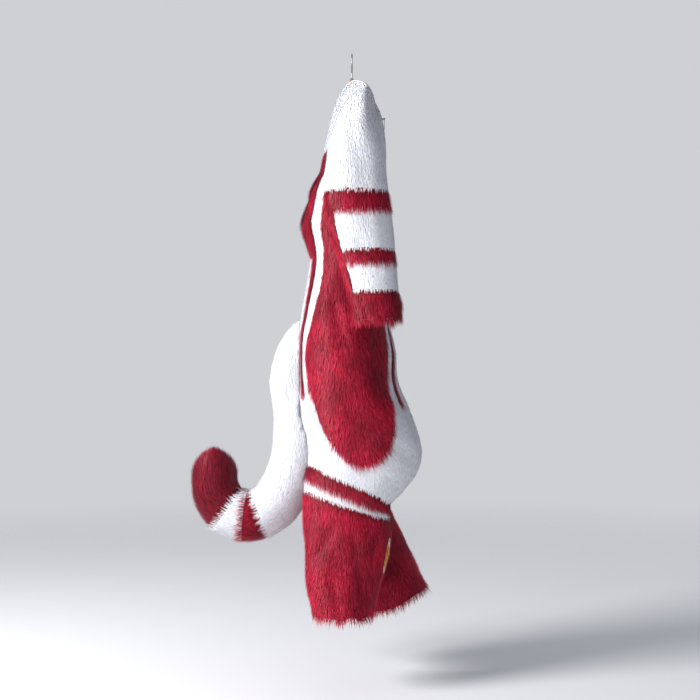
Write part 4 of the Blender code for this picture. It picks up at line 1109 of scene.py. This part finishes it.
def makeMetal(name, colour, roughness):
    made, tree, shader = newMaterial(name, Metallic=1.0, Base_Color=colour)
    place = objectPlace(tree)
    smudge = addNoise(tree, place, 90.0, 5.0)
    scratch = addNoise(tree, place, 900.0, 3.0)
    rough = spread(tree, smudge, 0.3, 0.7, roughness - 0.1, roughness + 0.14)
    join(tree, rough, shader.inputs["Roughness"])
    dull = tuple(part * 0.72 for part in colour[:3]) + (1,)
    join(tree, mixColour(tree, smudge, dull, colour), shader.inputs["Base Color"])
    addBump(tree, shader, scratch, 0.12, 0.1 * mm)
    return made


def makeWood():
    made, tree, shader = newMaterial("hangerBeech", Coat_Weight=0.5, Coat_Roughness=0.22)
    along = addNode(tree, "ShaderNodeMapping", in_Scale=(5.0, 62.0, 62.0))
    join(tree, objectPlace(tree), along.inputs["Vector"])
    grain = addNoise(tree, along.outputs[0], 1.6, 6.0, 0.7)
    pores = addNoise(tree, along.outputs[0], 14.0, 3.0)
    amount = spread(tree, grain, 0.32, 0.68, 0.0, 1.0)
    colour = mixColour(tree, amount, hardware["woodDark"], hardware["wood"])
    speck = spread(tree, pores, 0.60, 0.72, 0.0, 0.5)
    join(tree, mixColour(tree, speck, colour, hardware["woodDark"]), shader.inputs["Base Color"])
    join(tree, spread(tree, grain, 0.3, 0.7, 0.32, 0.5), shader.inputs["Roughness"])
    addBump(tree, shader, pores, 0.2, 0.2 * mm)
    return made


def smoothCopy(node, name, material, levels=0, bevel=0.0):
    shape = mergedCopy(node)
    joinTriangles(shape, 30)
    piece = meshFrom(shape, name)
    dress(piece.data, material)
    if bevel:
        edge = piece.modifiers.new("edges", "BEVEL")
        edge.width = bevel
        edge.segments = 2
        edge.limit_method = "ANGLE"
        edge.angle_limit = math.radians(35)
        edge.harden_normals = True
    if levels:
        finer = piece.modifiers.new("finer", "SUBSURF")
        finer.levels = finer.render_levels = levels
    return piece


metal = makeMetal("zipMetal", hardware["metal"], 0.28)
wire = makeMetal("hookWire", hardware["wire"], 0.32)
tapeWeave = makeWeaveMaterial("zipTape", hardware["tape"], 1400.0)
hardTable = (
    ("hanger_wood", "hangerWood", makeWood(), "hanger_wood", suitBody, 2, 0.0),
    ("hanger_hook", "hangerHook", wire, "hook_wire", suitBody, 1, 0.0),
    ("zip_slider", "zipSlider", metal, "zip_metal", suitBody, 0, hardware["bevel"]),
    ("zip_pull", "zipPull", metal, "zip_metal", "zip_pull", 0, hardware["bevel"]),
    ("zip_chain", "zipTape", tapeWeave, "zip_tape", suitBody, 0, 0.2 * mm),
)
for node, name, material, slot, body, levels, bevel in hardTable:
    piece = smoothCopy(node, name, material, levels, bevel)
    settle((piece,), body)
    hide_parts(node)


def makeTooth():
    shape = bmesh.new()
    reach, back, half = zipSettings["reach"], zipSettings["overlap"], zipSettings["half"]
    profile = ((-back, 0.5), (-back * 0.4, 1.0), (back, 0.75), (reach, 1.0))
    rings = []
    for across, width in profile:
        ring = []
        for turn in range(6):
            angle = math.tau * (turn + 0.5) / 6
            side = math.cos(angle) * half * width
            up = (math.sin(angle) * 0.5 + 0.5) * zipSettings["height"]
            ring.append(shape.verts.new((across, side, up)))
        rings.append(ring)
    for first, second in zip(rings, rings[1:]):
        for turn in range(6):
            after = (turn + 1) % 6
            shape.faces.new((first[turn], first[after], second[after], second[turn]))
    shape.faces.new(rings[0][::-1])
    shape.faces.new(rings[-1])
    bmesh.ops.recalc_face_normals(shape, faces=shape.faces)
    return meshFrom(shape, "tooth")


def makeTeethTree():
    tree = bpy.data.node_groups.new("zipTeeth", "GeometryNodeTree")
    new = tree.interface.new_socket
    new("Geometry", in_out="INPUT", socket_type="NodeSocketGeometry")
    new("Tooth", in_out="INPUT", socket_type="NodeSocketObject")
    new("Size", in_out="INPUT", socket_type="NodeSocketFloat")
    new("Material", in_out="INPUT", socket_type="NodeSocketMaterial")
    new("Geometry", in_out="OUTPUT", socket_type="NodeSocketGeometry")
    given = tree.nodes.new("NodeGroupInput")
    out = addNode(tree, "GeometryNodeInputNamedAttribute", data_type="FLOAT_VECTOR", in_0="out")
    down = addNode(tree, "GeometryNodeInputNamedAttribute", data_type="FLOAT_VECTOR", in_0="down")
    order = tree.nodes.new("GeometryNodeInputIndex")
    odd = maths(tree, "MODULO", order.outputs[0], 2.0)  # each second tooth points the other way
    angles = tree.nodes.new("ShaderNodeCombineXYZ")
    join(tree, maths(tree, "MULTIPLY", odd, math.pi), angles.inputs[2])
    turned = turnAlong(tree, out.outputs[0], down.outputs[0], angles.outputs[0])
    placeCopies(tree, given, given.outputs["Geometry"], "Tooth", turned, given.outputs["Size"])
    return tree


def makeTeeth():
    shape = mergedCopy("zip_chain")
    tree = BVHTree.FromBMesh(shape)
    shape.free()
    spots, outs = [], []
    height = zipSettings["top"]
    while height > zipSettings["bottom"]:
        spot, normal, _, _ = tree.ray_cast(Vector((0.0003, -0.6, height)), Vector((0, 1, 0)))
        if spot is not None:
            spots.append(Vector((0, spot.y, spot.z)))
            outs.append(normal)
        height -= zipSettings["pitch"]
    mesh = bpy.data.meshes.new("zipTeeth")
    mesh.from_pydata(spots, [(number, number + 1) for number in range(len(spots) - 1)], [])
    downs = [(second - first).normalized() for first, second in zip(spots, spots[1:])]
    downs.append(downs[-1])
    storeVectors(mesh, "out", outs)
    storeVectors(mesh, "down", downs)
    row = linked("zipTeeth", mesh)
    tooth = makeTooth()
    values = {"Tooth": tooth, "Size": 1.0, "Material": metal}
    runTree(row, makeTeethTree(), values, ("out", "down"))
    bpy.data.objects.remove(tooth)
    return row


teeth = makeTeeth()
settle((teeth,))
print("zip and hanger ready")


# Floor and light: pale ground, a broad key from behind the wearer's right, and weak fill
studio = {
    "floorHeight": -1.69,
    "floorReach": 6.0,
    "floorSides": 64,
    "floorFade": (1.0, 4.4),
    "floorColour": (0.84, 0.84, 0.85, 1),
    "backdrop": (0.62, 0.63, 0.66, 1),
    "world": (0.80, 0.84, 0.95, 1),
    "worldStrength": 0.37,
}
# Columns: name, place, what it points at, size, watts
lamps = (
    ("key", (-1.7, 3.0, 0.5), (0, 0, -0.8), 1.4, 225),
    ("front", (0.6, -3.2, 0.3), (0, 0, -0.8), 2.2, 9),
    ("far", (2.8, -1.2, 0.9), (0, 0, -0.8), 2.4, 12),
    ("low", (-2.4, 0.9, -1.5), (0, 0, -1.1), 1.5, 14),
)


def makeStudio():
    mesh = bpy.data.meshes.new("floor")
    reach = studio["floorReach"]
    turns = [math.tau * number / studio["floorSides"] for number in range(studio["floorSides"])]
    rim = [(reach * math.cos(turn), reach * math.sin(turn), 0) for turn in turns]
    mesh.from_pydata(rim, [], [tuple(range(len(rim)))])
    floor = linked("floor", mesh)
    floor.location.z = studio["floorHeight"]
    made, tree, shader = newMaterial("floorPaint", Roughness=0.75)
    place = objectPlace(tree)
    darker = tuple(part * 0.97 for part in studio["floorColour"][:3]) + (1,)
    colour = mixColour(tree, addNoise(tree, place, 3.0, 3.0), darker, studio["floorColour"])
    join(tree, colour, shader.inputs["Base Color"])
    reachNow = addNode(tree, "ShaderNodeVectorMath", operation="LENGTH")
    join(tree, place, reachNow.inputs[0])
    fade = addNode(tree, "ShaderNodeMapRange", interpolation_type="SMOOTHSTEP", in_3=1.0, in_4=0.0)
    fade.inputs[1].default_value, fade.inputs[2].default_value = studio["floorFade"]
    join(tree, reachNow.outputs["Value"], fade.inputs[0])
    join(tree, fade.outputs[0], shader.inputs["Alpha"])
    mesh.materials.append(made)
    world = bpy.data.worlds.new("studio")
    world.use_nodes = True
    sky = world.node_tree.nodes["Background"]
    sky.inputs["Color"].default_value = studio["world"]
    sky.inputs["Strength"].default_value = studio["worldStrength"]
    seen = addNode(world.node_tree, "ShaderNodeBackground", in_Color=studio["backdrop"], in_Strength=1.0)
    which = addNode(world.node_tree, "ShaderNodeLightPath")
    both = addNode(world.node_tree, "ShaderNodeMixShader")
    join(world.node_tree, which.outputs["Is Camera Ray"], both.inputs[0])
    join(world.node_tree, sky.outputs[0], both.inputs[1])
    join(world.node_tree, seen.outputs[0], both.inputs[2])
    join(world.node_tree, both.outputs[0], world.node_tree.nodes["World Output"].inputs[0])
    bpy.context.scene.world = world
    for name, place, aim, size, watts in lamps:
        light = bpy.data.lights.new(name, "AREA")
        light.shape = "DISK"
        light.size = size
        light.energy = watts
        lamp = bpy.data.objects.new(name, light)
        lamp.location = place
        lamp.rotation_euler = (Vector(aim) - Vector(place)).to_track_quat("-Z", "Y").to_euler()
        bpy.context.scene.collection.objects.link(lamp)


makeCamera()
makeStudio()
print("studio ready")
